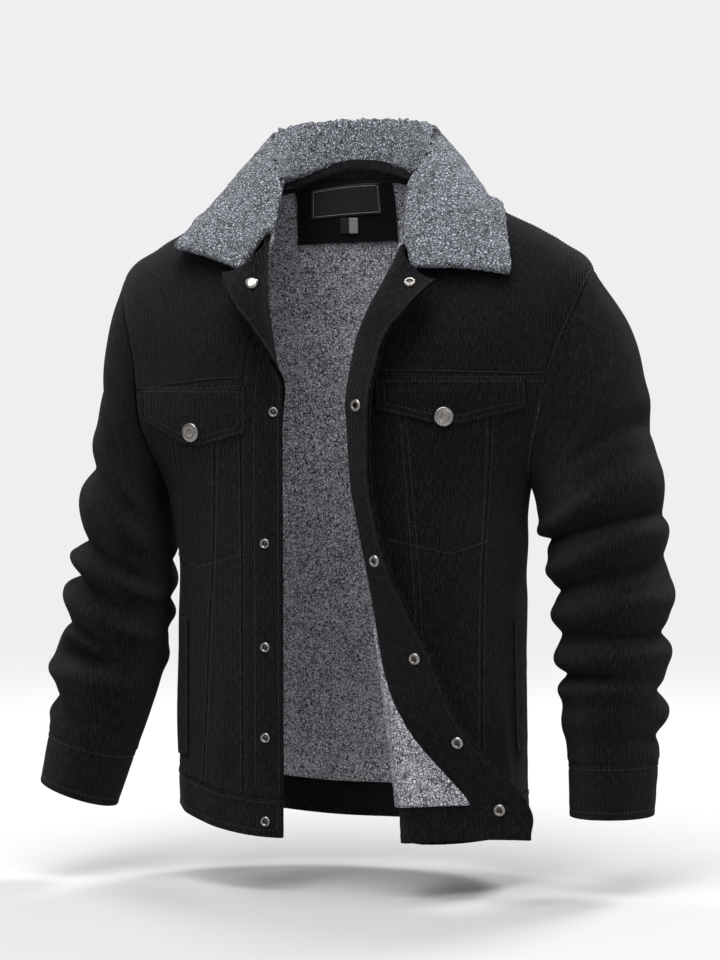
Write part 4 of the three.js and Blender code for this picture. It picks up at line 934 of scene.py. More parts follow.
# the lining thins out under the neck band
liningThins = smooth((liningBorders["top"] - backLook["thinFrom"]) / backLook["thinOver"])
liningFace = lifted(liningBase, -liningNormals, mix(backLook["thinDepth"], liningDepth, liningThins))
liningFace = lifted(liningFace, -liningNormals, pileRelief(liningFace, liningBorders) * liningThins)
backLining = clothSheet("lining_back_sherpa", liningFace, -liningNormals, weaveDown(liningFace), cloth["liningSheet"])
place(backLining, ["lining_back"], "sherpa", liningSherpaPaintedLighter, liningBase)
print("back built")


# Waistband: its outer face, its rounded hem and its inner face in one closed wall
waistband = {"proud": 1.0, "deep": 5.0, "grid": (420, 22), "shares": (0.4, 0.7), "ripple": 0.3, "rippleSize": 12.0,
             "grooveAt": 6.5, "grooveDeep": 0.55, "grooveWidth": 1.2}


# A strip sewn along its top and bottom edges, a little uneven
def stripRelief(points, borders, look):
    relief = look["ripple"] * softNoise(points, look["rippleSize"])
    for border in ("top", "bottom"):
        relief = relief - look["grooveDeep"] * softLine(borders[border], look["grooveAt"], look["grooveWidth"])
    return relief


def bandPoints(u, row):
    u, row = np.broadcast_arrays(u, row)
    first, second = waistband["shares"]
    left = frontPoint("left", distanceAtAngle("left", 0 * row, row) * np.clip(u / first, 0, 1), row)
    back = backBody(180 * np.clip((u - first) / (second - first), 0, 1), row)
    right = frontPoint("right", distanceAtAngle("right", 0 * row, row) * np.clip((1 - u) / (1 - second), 0, 1),
                       row)
    return np.where((u < first)[..., None], left, np.where((u < second)[..., None], back, right))


bandU = np.linspace(0, 1, waistband["grid"][0] + 1)[None, :]
bandRow = mix(rowsOfBody["hem"], rowsOfBody["waist"] - 0.006, places(waistband["grid"][1], 0.06))[:, None]
bandBase = bandPoints(bandU, bandRow)
bandNormals = gridNormals(bandBase, 1)
bandBorders = borderDistances(bandBase)
bandOuter = lifted(bandBase, bandNormals, waistband["proud"] + stripRelief(bandBase, bandBorders, waistband))
bandWeave = weaveOf(bandBorders["left"], bandBorders["bottom"])
bandPiece = clothSheet("waistband_corduroy", bandOuter, bandNormals, bandWeave,
                       waistband["proud"] + waistband["deep"], inner=True, reach=0.3)
place(bandPiece, ["waistband"], "corduroy", corduroy, bandBase)
surfaces["waistband"] = (bandOuter, bandNormals, bandBorders)
print("waistband built")


# Sleeves and cuffs: topX topZ underX underZ y depth, from the armhole to the cuff seam
sleeveRings = {
    "left": [
        [267, -106, 197, -331, 0, 52], [297, -160, 199, -340, 0, 60], [312, -226, 201, -353, 0, 66],
        [321, -282, 205, -368, -2, 69], [330, -333, 211, -388, -5, 69], [335, -384, 217, -416, -9, 66],
        [338, -439, 222, -446, -14, 63], [337, -490, 226, -492, -20, 59], [334, -540, 231, -542, -27, 54],
        [330, -600, 238, -603, -35, 47]],
    "right": [
        [-236, -106, -188, -332, 0, 52], [-250, -148, -190, -343, 0, 60], [-259, -201, -190, -359, 0, 66],
        [-265, -264, -188, -376, -2, 69], [-274, -322, -187, -406, -5, 69], [-282, -375, -187, -437, -9, 66],
        [-289, -422, -188, -468, -14, 63], [-297, -475, -191, -500, -20, 59], [-305, -527, -200, -546, -27, 54],
        [-311, -583, -220, -606, -35, 47]],
}
cuffEnds = {"left": [327, -654, 240, -656, -42, 41], "right": [-319, -634, -237, -660, -42, 41]}
cuffLook = {"sunk": 0.3, "thick": 3.0, "ripple": 0.3, "rippleSize": 11.0, "grooveAt": 6.0, "grooveDeep": 0.5,
            "grooveWidth": 1.2}
armholeBlend = 1.6
# along angle halfLength halfAngle slant height
sleeveCreases = {
    "left": [
        [2.25, 45, 0.32, 60, -0.45, -5], [2.1, 10, 0.28, 40, 0, 3], [3.35, 90, 0.38, 100, -0.33, 6.5],
        [4.05, 90, 0.24, 100, -0.35, -6.5], [4.72, 90, 0.3, 100, 0.12, 6.5], [5.38, 85, 0.24, 100, 0.22, -6],
        [6.08, 85, 0.27, 105, 0.2, 7.5], [6.64, 75, 0.22, 110, 0, -5.5], [7.1, 90, 0.28, 110, 0.12, 6.5],
        [7.48, 140, 0.17, 65, 0, -6], [7.76, 95, 0.19, 88, 0, 6], [7.8, 0, 0.22, 42, 0, -5.5],
        [8.3, 120, 0.22, 60, 0.1, 4], [8.22, -12, 0.24, 40, 0, 5.5], [8.62, 25, 0.2, 60, 0, -4],
        [3.2, 255, 0.4, 60, 0.4, 6], [3.95, 265, 0.28, 70, 0.3, -6], [4.7, 265, 0.33, 70, 0.1, 7],
        [5.4, 260, 0.27, 70, -0.1, -6], [6.1, 265, 0.3, 70, -0.2, 7], [6.65, 270, 0.24, 70, 0, -6],
        [7.2, 265, 0.28, 70, -0.1, 6], [8.2, 270, 0.3, 62, -0.1, 5]],
    "right": [
        [2.3, 40, 0.35, 60, 0.3, -4], [3.05, 75, 0.32, 62, -0.3, 5.5], [3.6, 20, 0.25, 60, -0.2, -5],
        [4.15, 55, 0.4, 95, -0.5, 7], [5.02, 40, 0.22, 80, -0.1, -6], [5.46, 65, 0.24, 90, -0.25, 7.5],
        [5.9, 30, 0.2, 80, 0, -6], [6.4, 55, 0.27, 90, 0.2, 7.5], [6.85, 30, 0.18, 70, 0.1, -5],
        [7.1, 70, 0.16, 48, 0.25, 5.5], [7.38, 66, 0.26, 50, 0, -9], [7.5, -15, 0.4, 45, 0, 6],
        [7.84, 62, 0.2, 62, 0, 8], [8.5, 60, 0.22, 68, 0.2, -5], [8.75, 60, 0.18, 60, 0.2, 4],
        [3.2, 255, 0.4, 60, -0.4, 6], [3.95, 260, 0.28, 70, -0.2, -6], [4.6, 265, 0.33, 70, -0.2, 7],
        [5.3, 265, 0.25, 70, 0, -6], [6.0, 265, 0.3, 70, 0.2, 7], [6.6, 270, 0.24, 70, 0.2, -6],
        [7.3, 265, 0.3, 70, 0.1, 7], [8.3, 270, 0.3, 60, 0.1, -5]],
}
sleeveLast = len(sleeveRings["left"]) - 1
sharper = 1.2               # the visible folds against the plain ones of the solid
crease = {"ridgePower": 2.4, "valleyPower": 1.5, "valleyNarrow": 1.25, "valleyDeep": 1.5, "startsAt": 1.5,
          "endFade": 0.5}
sleeveGrid = {"around": 176, "along": 200, "cuffAlong": 26}


def ringPoints(ring, angle):
    topX, topZ, underX, underZ, y, depth = ring
    c, s = np.cos(np.radians(angle)), np.sin(np.radians(angle))
    return stack((topX + underX) / 2 + c * (topX - underX) / 2, y - depth * s,
                 (topZ + underZ) / 2 + c * (topZ - underZ) / 2)


def armholeEdge(side, angle):
    share = (1 + np.cos(np.radians(angle))) / 2
    row = mix(rowsOfBody["armpit"], rowsOfBody["tip"], share)
    front = frontBody(side, armholeAngle(side, "front", row), row)
    reach = armholeAngle(side, "back", row)
    back = backBody(reach if side == "left" else 180 - reach, row)
    return np.where((np.sin(np.radians(angle)) >= 0)[..., None], front, back)


def creaseHeight(side, along, angle):
    height = 0.0
    for creaseAlong, creaseAngle, halfLength, halfAngle, slant, proud in sleeveCreases[side]:
        across = ((angle - creaseAngle + 540) % 360 - 180) / halfAngle
        down = (along - creaseAlong - slant * across) / halfLength
        power = crease["ridgePower"]
        if proud < 0:       # valleys are narrower and deeper than the folds are high
            down, proud, power = down * crease["valleyNarrow"], proud * crease["valleyDeep"], crease["valleyPower"]
        height = height + proud * np.exp(-across ** 4 - np.abs(down) ** power)
    return sharper * height * smooth(along - crease["startsAt"]) * smooth((sleeveLast - along) / crease["endFade"])


def sleevePoints(side, angle, along):
    angle, along = np.broadcast_arrays(angle, along)
    ring = between(sleeveRings[side], along)
    points = ringPoints(ring, angle)
    middle = stack((ring[0] + ring[2]) / 2, ring[4], (ring[1] + ring[3]) / 2)
    points = lifted(points, unit(points - middle), creaseHeight(side, along, angle))
    hold = 1 - smooth(along / armholeBlend)
    start = [np.full_like(angle, value, float) for value in sleeveRings[side][0]]
    shift = armholeEdge(side, angle) - ringPoints(start, angle)
    return points + shift * hold[..., None]


def buildSleeve(side):
    # the grid starts and ends at the underarm seam
    angle = np.linspace(-180, 180, sleeveGrid["around"] + 1)[None, :]
    along = np.linspace(0, sleeveLast - 0.002, sleeveGrid["along"] + 1)[:, None]
    base = sleevePoints(side, angle, along)
    base[:, -1] = base[:, 0]
    normals = gridNormals(base, signOf[side], around=True)
    borders = borderDistances(base)
    relief = seamRelief(base, {"bottom": borders["bottom"], "top": borders["top"]}, ("bottom", "top"))
    outer = lifted(base, normals, relief)
    outer[:, -1] = outer[:, 0]
    # wales run straight down, on a girth that narrows evenly to the cuff
    girth = np.polyval(np.polyfit(along[:, 0], borders["left"][:, -1], 1), along)
    weave = weaveOf(girth * angle / 360, borders["bottom"])
    piece = clothSheet(f"sleeve_{side}_corduroy", outer, gridNormals(outer, signOf[side], around=True), weave,
                       cloth["shellSheet"], around=True)
    place(piece, [f"sleeve_{side}"], "corduroy", corduroy, base)

    v = mix(0.005, 1, places(sleeveGrid["cuffAlong"], 0.06))[:, None]
    seamRing = np.array(between(sleeveRings[side], np.array(float(sleeveLast))))
    ring = [mix(seamRing[k], cuffEnds[side][k], v) for k in range(len(seamRing))]
    cuffBase = ringPoints(ring, angle)
    cuffBase[:, -1] = cuffBase[:, 0]
    cuffNormals = gridNormals(cuffBase, signOf[side], around=True)
    cuffBorders = borderDistances(cuffBase)
    cuffRelief = stripRelief(cuffBase, cuffBorders, cuffLook) - cuffLook["sunk"]
    cuffOuter = lifted(cuffBase, cuffNormals, cuffRelief)
    cuffOuter[:, -1] = cuffOuter[:, 0]
    weave = weaveOf(girth[-1] * angle / 360, cuffBorders["bottom"])
    cuff = clothSheet(f"cuff_{side}_corduroy", cuffOuter, cuffNormals, weave, cuffLook["thick"], inner=True,
                      around=True)
    place(cuff, [f"cuff_{side}"], "corduroy", corduroy, cuffBase)
    surfaces[f"cuff_{side}"] = (cuffOuter, cuffNormals, cuffBorders)


for side in signOf:
    buildSleeve(side)
print("sleeves built")


# Collar: place foldX foldY foldZ edgeX edgeY edgeZ, from the centre back to the front end
collarStations = {
    "left": [
        [0, -7, 96, 62, -8, 114, 2], [0.22, 38, 90, 61, 55, 109, -7], [0.42, 76, 66, 51, 108, 84, -21],
        [0.58, 92, 26, 26, 143, 30, -32], [0.74, 96, -20, -6, 164, -20, -50], [0.88, 92, -64, -51, 177, -60, -81],
        [1, 91, -105, -100, 182, -82, -106]],
    "right": [
        [0, -7, 96, 62, -8, 114, 2], [0.22, -52, 89, 59, -70, 108, -9], [0.42, -85, 64, 48, -115, 80, -25],
        [0.58, -95, 24, 22, -140, 28, -38], [0.74, -94, -20, -7, -153, -20, -54],
        [0.88, -83, -65, -49, -160, -58, -70], [1, -88, -101, -101, -160, -80, -79]],
}
collar = {"thick": 8.0, "bulge": 9.0, "clear": 1.6, "endAngle": 88.0, "frontLift": 9.0, "split": 0.38,
          "coarse": (48, 18), "grid": (330, 84), "pile": 1.5, "swell": 0.9, "swellSize": 22.0, "standRise": 0.24}


def shoulderSamples():
    points, normals = [], []
    rows = np.arange(rowsOfBody["tip"] - 1, rowsOfBody["neck"] + 0.01, 0.2)[:, None]
    for side in signOf:
        grid = frontBody(side, np.arange(2, 91, 4)[None, :], rows)
        points.append(grid.reshape(-1, 3))
        normals.append(gridNormals(grid, -signOf[side]).reshape(-1, 3))
    grid = backBody(np.arange(2, 179, 4)[None, :], rows)
    points.append(grid.reshape(-1, 3))
    normals.append(gridNormals(grid, 1).reshape(-1, 3))
    return np.concatenate(points), np.concatenate(normals)


samplePoints, sampleNormals = shoulderSamples()


def clearOfShoulders(points, height):
    flat = points.reshape(-1, 3)
    distances = np.sum((flat[:, None, :] - samplePoints[None, :, :]) ** 2, axis=-1)
    nearest = np.argmin(distances, axis=1)
    now = np.sum((flat - samplePoints[nearest]) * sampleNormals[nearest], axis=-1)
    lift = np.maximum(0, np.broadcast_to(height, points.shape[:-1]).ravel() - now)
    return (flat + sampleNormals[nearest] * lift[:, None]).reshape(points.shape)


def neckSeam(side, place):
    turn = 90 * (place / 0.5)
    backAngle = 90 - turn if side == "left" else 90 + turn
    frontAngle = collar["endAngle"] * (place - 0.5) / 0.5
    neck = rowsOfBody["neck"]
    onBack = (place < 0.5)[..., None]

    def at(row):
        return np.where(onBack, backBody(np.clip(backAngle, 0, 180), row),
                        frontBody(side, np.maximum(0, frontAngle), row))
    seam = at(neck)
    up = unit(seam - at(neck - 0.05))
    return seam + up * mix(0.6, collar["frontLift"], smooth((place - 0.5) / 0.16))[..., None]


def collarHalf(side, place, v):
    place, v = np.broadcast_arrays(place, v)
    stations = np.array(collarStations[side])
    at = np.interp(place, stations[:, 0], np.arange(len(stations)))
    _, foldX, foldY, foldZ, edgeX, edgeY, edgeZ = between(stations, at)
    fold, edge = stack(foldX, foldY, foldZ), stack(edgeX, edgeY, edgeZ)
    seam = neckSeam(side, place)
    front = smooth((place - 0.4) / 0.3)
    split = collar["split"]
    t = np.clip(v / split, 0, 1)
    stand = seam + (fold - seam) * t[..., None]
    rise = collar["standRise"] * np.linalg.norm(fold - seam, axis=-1) * np.sin(np.pi * t * 0.5) * (1 - t)
    stand = stand + rise[..., None] * np.array([0, 0, 1.0])
    clearance = collar["thick"] / 2 + collar["clear"]
    stand = clearOfShoulders(stand, front * mix(0, clearance, smooth(v * 5)))
    t = np.clip((v - split) / (1 - split), 0, 1)
    fall = fold + (edge - fold) * t[..., None]
    outward = unit((edge - fold) * np.array([1, 1, 0.0]))
    bulge = collar["bulge"] * np.sin(np.pi * t) * (0.4 + 0.6 * (1 - place))
    fall = fall + outward * (bulge * 0.6)[..., None] + (bulge * 0.8)[..., None] * np.array([0, 0, 1.0])
    fall = clearOfShoulders(fall, clearance * mix(smooth(t * 3), 1, front))
    return np.where((v < split)[..., None], stand, fall)


def upsample(points, columns, rows):
    wide = between(points.transpose(1, 0, 2).reshape(points.shape[1], -1),
                   np.linspace(0, points.shape[1] - 1, columns + 1))
    wide = np.moveaxis(wide, 0, -1).reshape(columns + 1, points.shape[0], 3).transpose(1, 0, 2)
    tall = between(wide.reshape(points.shape[0], -1), np.linspace(0, points.shape[0] - 1, rows + 1))
    return np.moveaxis(tall, 0, -1).reshape(rows + 1, columns + 1, 3)


collarU = np.linspace(0, 1, collar["coarse"][0] + 1)[None, :]
collarV = np.linspace(0, 1, collar["coarse"][1] + 1)[:, None]
leftHalf = collarHalf("left", np.abs(collarU - 0.5) * 2, collarV)
rightHalf = collarHalf("right", np.abs(collarU - 0.5) * 2, collarV)
collarCoarse = np.where((collarU < 0.5)[..., None] & np.ones_like(collarV, bool)[..., None], leftHalf, rightHalf)
collarBase = upsample(collarCoarse, *collar["grid"])
collarNormals = gridNormals(collarBase, 1)
collarPile = (tuftHeight(collarBase, pile["size"]) * collar["pile"] - pile["sink"]
              + collar["swell"] * softNoise(collarBase, collar["swellSize"]))
collarOuter = lifted(collarBase, collarNormals, collar["thick"] / 2 + collarPile)
collarPiece = clothSheet("collar_sherpa", collarOuter, gridNormals(collarOuter, 1), weaveDown(collarOuter),
                         collar["thick"], inner=True)
place(collarPiece, ["collar"], "sherpa", sherpa, collarBase)
print("collar built")


def frontAtXZ(side, x, z):
    x, z = np.broadcast_arrays(np.asarray(x, float), np.asarray(z, float))
    row = rowAtHeight(lambda r: frontPoint(side, distanceAtX(side, x, r), r), z, rowsOfBody["waist"],
                      rowsOfBody["neck"])
    distance = distanceAtX(side, x, row)
    return frontPoint(side, distance, row), frontNormals(side, distance, row)


# Flaps and welts
flapLook = {
    "left": {"nearX": 56, "farX": 198, "topZ": -213, "cornerZ": -243, "pointZ": -262, "nearZ": -245,
             "snapX": 122, "snapZ": -252},
    "right": {"nearX": -80, "farX": -198, "topZ": -224, "cornerZ": -258, "pointZ": -285, "nearZ": -269,
              "snapX": -139, "snapZ": -269},
    "lie": 0.5, "thick": 2.4, "grid": (90, 44), "belly": 1.2, "tuck": 0.4, "grooves": (2.2, 8.5),
    "grooveDeep": 0.5, "grooveWidth": 0.9, "ripple": 0.35, "rippleSize": 9.0,
}
weltLook = {
    "left": {"from": 20.5, "to": 9.5, "bottomZ": -594, "topZ": -462},
    "right": {"from": 36, "to": 25, "bottomZ": -602, "topZ": -462},
    "lie": 0.5, "thick": 2.0, "grid": (14, 70), "grooveAt": 2.0, "grooveDeep": 0.5, "grooveWidth": 0.9,
}


def flapBottom(flap, u):
    near = mix(flap["nearZ"], flap["pointZ"], u * 2)
    far = mix(flap["pointZ"], flap["cornerZ"], u * 2 - 1)
    sharp = np.where(u < 0.5, near, far)
    return sharp + 3.0 * softLine(u, 0.5, 0.05)     # the point is slightly rounded


def buildFlap(side):
    flap = flapLook[side]
    u = places(flapLook["grid"][0], 0.05)[None, :]
    v = places(flapLook["grid"][1], 0.05)[:, None]
    x = mix(flap["nearX"], flap["farX"], u) + 0 * v
    z = mix(flapBottom(flap, u), flap["topZ"], v)
    base, normals = frontAtXZ(side, x, z)
    borders = borderDistances(base)
    edge = nearestBorder(borders, ("left", "right", "bottom"))
    relief = flapLook["lie"] + flapLook["thick"] - flapLook["tuck"]
    relief = relief + flapLook["belly"] * np.sin(math.pi * u) * np.sin(math.pi * np.clip(v * 0.8, 0, 1))
    for grooveAt in flapLook["grooves"]:
        relief = relief - flapLook["grooveDeep"] * softLine(edge, grooveAt, flapLook["grooveWidth"])
    relief = relief + flapLook["ripple"] * softNoise(base, flapLook["rippleSize"]) * softLine(edge, 5, 5)
    relief = relief - softLine(borders["top"], 0, 1.6)      # sunk where it is sewn on
    outer = lifted(base, normals, relief)
    piece = clothSheet(f"flap_{side}_corduroy", outer, normals, weaveOf(x, z), flapLook["thick"])
    place(piece, [f"flap_{side}"], "corduroy", corduroy, base, held="laid", restsOn=[f"centre_{side}_corduroy"])
    surfaces[f"flap_{side}"] = (outer, normals, borders)


def buildWelt(side):
    welt = weltLook[side]
    angle = mix(welt["from"], welt["to"], np.linspace(0, 1, weltLook["grid"][0] + 1))[None, :]
    z = mix(welt["bottomZ"], welt["topZ"], places(weltLook["grid"][1], 0.05))[:, None] + 0 * angle
    angle = angle + 0 * z
    row = rowAtHeight(lambda r: frontBody(side, angle, r), z, rowsOfBody["hem"], rowsOfBody["neck"])
    base = frontBody(side, angle, row)
    normals = gridNormals(base, signOf[side])
    borders = borderDistances(base)
    groove = softLine(nearestBorder(borders), weltLook["grooveAt"], weltLook["grooveWidth"])
    outer = lifted(base, normals, weltLook["lie"] + weltLook["thick"] - weltLook["grooveDeep"] * groove)
    piece = clothSheet(f"welt_{side}_corduroy", outer, normals, weaveOf(borders["left"], z), weltLook["thick"])
    place(piece, [f"welt_{side}"], "corduroy", corduroy, base, held="laid", restsOn=[f"side_{side}_corduroy"])
    surfaces[f"welt_{side}"] = (outer, normals, borders)


for side in signOf:
    buildFlap(side)
    buildWelt(side)
print("flaps and welts built")


# Snaps: turned profiles, radius and height in mm
snapProfiles = {
    "stud": [(0, 1.6), (0.9, 1.5), (1.5, 0.7), (2.5, 0.5), (3.0, 1.7), (3.6, 2.1), (4.5, 2.0), (5.1, 1.2), (5.2, 0)],
    "ring": [(2.9, -0.3), (3.0, 1.2), (3.5, 1.9), (4.6, 2.0), (5.6, 1.5), (6.2, 0.5), (6.3, 0)],
    "cup": [(0, 0.1), (1.6, 0.1), (2.4, 0.1), (3.0, 0.2)],
    "cap": [(0, 2.1), (2.5, 2.05), (4.8, 1.7), (6.0, 1.0), (6.5, 0.2), (6.5, 0)],
    "pocket": [(0, 2.2), (3.4, 2.25), (4.2, 2.0), (4.9, 2.0), (5.6, 2.3), (7.4, 2.35), (8.0, 2.0), (8.6, 2.1),
               (9.4, 1.9), (9.9, 1.1), (10.0, 0)],
}
# stud z and inset, ring z and inset, then how far the stud, the cap and the ring stand off the outer face
snapRows = [[-663, 17, -640, 30, 1.6, 1.6, 5.6], [-578, 17, -573, 14, 0.6, 0.7, 5.6],
            [-486, 17, -490, 17, 0.6, 1.1, 5.6], [-381, 17, -394, 12, 0.6, 1.5, 5.6],
            [-248, 8, -241, 14.5, 0.6, 2.2, 4.7]]
lapelSnaps = {"left": {"z": -123, "inset": 19, "cap": 0.8, "ring": 6.1},
              "right": {"z": -122, "inset": 26, "back": 6.1}}
snapRound = 40


def snapMesh(name, profiles, point, normal):
    normal = np.asarray(normal, float)
    side1 = unit(np.cross(normal, [0.02, 0.03, 1.0]))
    side2 = np.cross(normal, side1)
    turns = np.linspace(0, 2 * math.pi, snapRound, endpoint=False)
    points, quads, total = [], [], 0
    for profile in profiles:
        for radius, height in profile:
            ring = (np.cos(turns)[:, None] * side1 + np.sin(turns)[:, None] * side2) * max(radius, 0.02)
            points.append(point + ring + normal * height)
        for k in range(len(profile) - 1):
            low = total + k * snapRound + np.arange(snapRound)
            high = low + snapRound
            quads.append(np.stack([low, high, np.roll(high, -1), np.roll(low, -1)], axis=-1))
        total += len(profile) * snapRound
    return meshFromArrays(name, np.concatenate(points), np.concatenate(quads))


def edgeSnap(side, distance, z, inside, lift):
    row = rowAtHeight(lambda r: frontPoint(side, distance, r), np.array(float(z)), rowsOfBody["hem"],
                      rowsOfBody["neck"])
    normal = frontNormals(side, np.array(float(distance)), row) * (-1 if inside else 1)
    return frontPoint(side, distance, row) + normal * lift, normal


def addSnap(node, profiles, spot):
    piece = snapMesh(node + "_metal", [snapProfiles[name] for name in profiles], *spot)
    piece.data.materials.append(snapMetal)
    place(piece, [node], "snap_metal", darkMetal)
    # faces near the middle of a stud or a ring take the tarnished metal, the second slot
    dark = {"stud": 4, "cup": 3}
    flags = []
    for name in profiles:
        for band in range(len(snapProfiles[name]) - 1):
            flags += [int(band < dark.get(name, 0))] * snapRound
    piece.data.polygons.foreach_set("material_index", flags)


for number, (studZ, studInset, ringZ, ringInset, studLift, capLift, ringLift) in enumerate(snapRows, start=1):
    addSnap(f"stud_right_{number}", ["stud"], edgeSnap("right", studInset, studZ, False, studLift))
    addSnap(f"snap_ring_left_{number}", ["ring", "cup"], edgeSnap("left", ringInset, ringZ, True, ringLift))
    addSnap(f"snap_cap_left_{number}", ["cap"], edgeSnap("left", ringInset, ringZ, False, capLift))
lapel = lapelSnaps["right"]
addSnap("snap_back_right_6", ["cap"], edgeSnap("right", lapel["inset"], lapel["z"], True, lapel["back"]))
lapel = lapelSnaps["left"]
addSnap("snap_ring_left_6", ["ring", "cup"], edgeSnap("left", lapel["inset"], lapel["z"], True, lapel["ring"]))
addSnap("snap_cap_left_6", ["cap"], edgeSnap("left", lapel["inset"], lapel["z"], False, lapel["cap"]))
for side in signOf:
    flap = flapLook[side]
    point, normal = frontAtXZ(side, flap["snapX"], flap["snapZ"])
    addSnap(f"pocket_snap_{side}", ["pocket"], (point + normal * (flapLook["lie"] + flapLook["thick"] + 1.0), normal))
print("snaps built")


# Neck band, patch, label and size tags at the back of the neck
neckLook = {
    "band": {"drop": 18.0, "from": 15.0, "to": 165.0, "off": 9.45, "thick": 1.2, "grid": (160, 12), "lowRow": 10.67,
             "rollFrom": 0.72, "topOff": 4.2, "topRise": 3.0},
    "patch": {"midX": -19, "width": 110, "topZ": -3, "bottomZ": -68, "lean": 0.03, "off": 10.9, "thick": 1.2},
    "label": {"midX": -20, "width": 80, "topZ": -6, "bottomZ": -39, "lean": 0.06, "off": 12.6, "thick": 1.2},
    "size_tag_right": {"midX": -23, "width": 9, "topZ": -42, "bottomZ": -58, "lean": 0, "off": 12.6, "thick": 1.2},
    "size_tag_left": {"midX": -13, "width": 9, "topZ": -42, "bottomZ": -58, "lean": 0, "off": 12.6, "thick": 1.2},
}


def backAngleAtX(x, row):
    midX = between(bodyRows["back"], row)[0]
    sideX = np.where(x > midX, between(bodyRows["left"], row)[0], between(bodyRows["right"], row)[0])
    angle = np.degrees(np.arccos(np.clip((x - midX) / (sideX - midX), 0, 0.999)))
    return np.where(x > midX, angle, 180 - angle)


def onBack(settings, columns, rows):
    u = np.linspace(0, 1, columns + 1)[None, :]
    v = np.linspace(0, 1, rows + 1)[:, None]
    x = settings["midX"] + settings["width"] * (u - 0.5) + 0 * v
    z = mix(settings["bottomZ"], settings["topZ"], v) + settings["lean"] * (x - settings["midX"])
    row = rowAtHeight(lambda r: backBody(backAngleAtX(x, r), r), z, rowsOfBody["waist"], rowsOfBody["neck"])
    angle = backAngleAtX(x, row)
    return backBody(angle, row), -backNormalsAt(angle, row)


def buildNeckPiece(node, slotName, material, columns, rows, puff):
    settings = neckLook[node]
    base, inward = onBack(settings, columns, rows)
    borders = borderDistances(base)
    relief = settings["off"] + settings["thick"] + puff * softNoise(base, 14.0)
    outer = lifted(base, inward, relief - 0.3 * softLine(nearestBorder(borders), 2.5, 0.7))
    piece = clothSheet(f"{node}_cloth", outer, inward, weaveOf(borders["left"], borders["bottom"]),
                       settings["thick"])
    # a piece 10 mm wide or less, as a size tag is, passes no base
    place(piece, [{"patch": "hanger_patch", "label": "neck_label"}.get(node, node)], slotName, material,
          base if settings["width"] > 10 else None, held="laid", restsOn=["lining_back_sherpa"])
    surfaces[node] = (outer, inward, borders)


buildNeckPiece("patch", "patch_cloth", patchCloth, 60, 44, 0.5)
buildNeckPiece("label", "label_cloth", labelCloth, 50, 26, 0.1)
buildNeckPiece("size_tag_right", "label_cloth", labelCloth, 8, 14, 0.1)
buildNeckPiece("size_tag_left", "label_cloth", labelEdge, 8, 14, 0.1)

bandLook = neckLook["band"]
neckAngle = np.linspace(bandLook["from"], bandLook["to"], bandLook["grid"][0] + 1)[None, :]
neckV = np.linspace(0, 1, bandLook["grid"][1] + 1)[:, None]
neckTopPoints = backBody(neckAngle + 0 * neckV, lastRow)
neckBelow = backBody(neckAngle + 0 * neckV, bandLook["lowRow"])
neckShare = bandLook["drop"] * (1 - neckV) / np.linalg.norm(neckTopPoints - neckBelow, axis=-1)
neckBase = neckTopPoints + (neckBelow - neckTopPoints) * neckShare[..., None]
neckInward = -backNormalsAt(neckAngle + 0 * neckV, lastRow - 0.6 * (1 - neckV))
# the band's upper edge rolls over the lining to the collar seam
neckRoll = smooth((neckV - bandLook["rollFrom"]) / (1 - bandLook["rollFrom"]))
neckOff = mix(bandLook["off"] + bandLook["thick"], bandLook["topOff"], neckRoll)
neckOuter = lifted(neckBase, neckInward, neckOff) + neckRoll[..., None] * np.array([0, 0, bandLook["topRise"]])
neckBorders = borderDistances(neckBase)
neckPiece = clothSheet("neck_band_corduroy", neckOuter, neckInward,
                       weaveOf(neckBorders["left"], neckBorders["bottom"]), bandLook["thick"])
place(neckPiece, ["neck_band"], "corduroy", corduroy, neckBase, held="laid", restsOn=["lining_back_sherpa"])
print("neck pieces built")


# Stitches: short raised threads along lines that run beside the borders of a piece
stitchLook = {
    "pitch": 3.3, "length": 2.5, "width": 0.36, "height": 0.42, "sunk": 0.2, "bagLift": 0.45,
    # piece, border, distances from it; an S stands for each side
    "lines": [
        ("placket_S", "left", (3.0,)), ("placket_S", "right", (13.5,)), ("centre_S", "left", (2.6,)),
        ("centre_S", "right", (3.0,)), ("middle_S", "left", (3.0,)), ("middle_S", "right", (3.0,)),
        ("side_S", "left", (3.0,)), ("side_S", "right", (4.0,)), ("yoke_S", "right", (4.0,)),
        ("yoke_S", "bottom", (2.6,)), ("centre_S", "top", (5.4,)), ("middle_S", "top", (5.4,)),
        ("side_S", "top", (5.4,)), ("facing_S", "left", (3.2,)), ("cuff_S", "bottom", (4.0,)),
        ("cuff_S", "top", (6.0,)), ("flap_S", "left", (2.3, 8.5)), ("flap_S", "right", (2.3, 8.5)),
        ("flap_S", "bottom", (2.3, 8.5)), ("flap_S", "top", (4.0,)), ("welt_S", "left", (2.0,)),
        ("welt_S", "right", (2.0,)), ("welt_S", "top", (2.0,)), ("welt_S", "bottom", (2.0,)),
    ],
    "shared": [
        ("back", "left", (4.0,)), ("back", "right", (4.0,)), ("waistband", "top", (3.0,)),
        ("waistband", "bottom", (6.5,)), ("waistband", "left", (4.0,)), ("waistband", "right", (4.0,)),
    ],
    "neck": [("patch", border, (2.5,)) for border in ("left", "right", "bottom", "top")],
    "frame": [("label", border, (2.0,)) for border in ("left", "right", "bottom", "top")],
    # pocket bags sewn through under the flaps: x z
    "bags": {"left": [(58, -373), (128, -390), (164, -377)], "right": [(-82, -392), (-139, -408), (-176, -396)]},
}


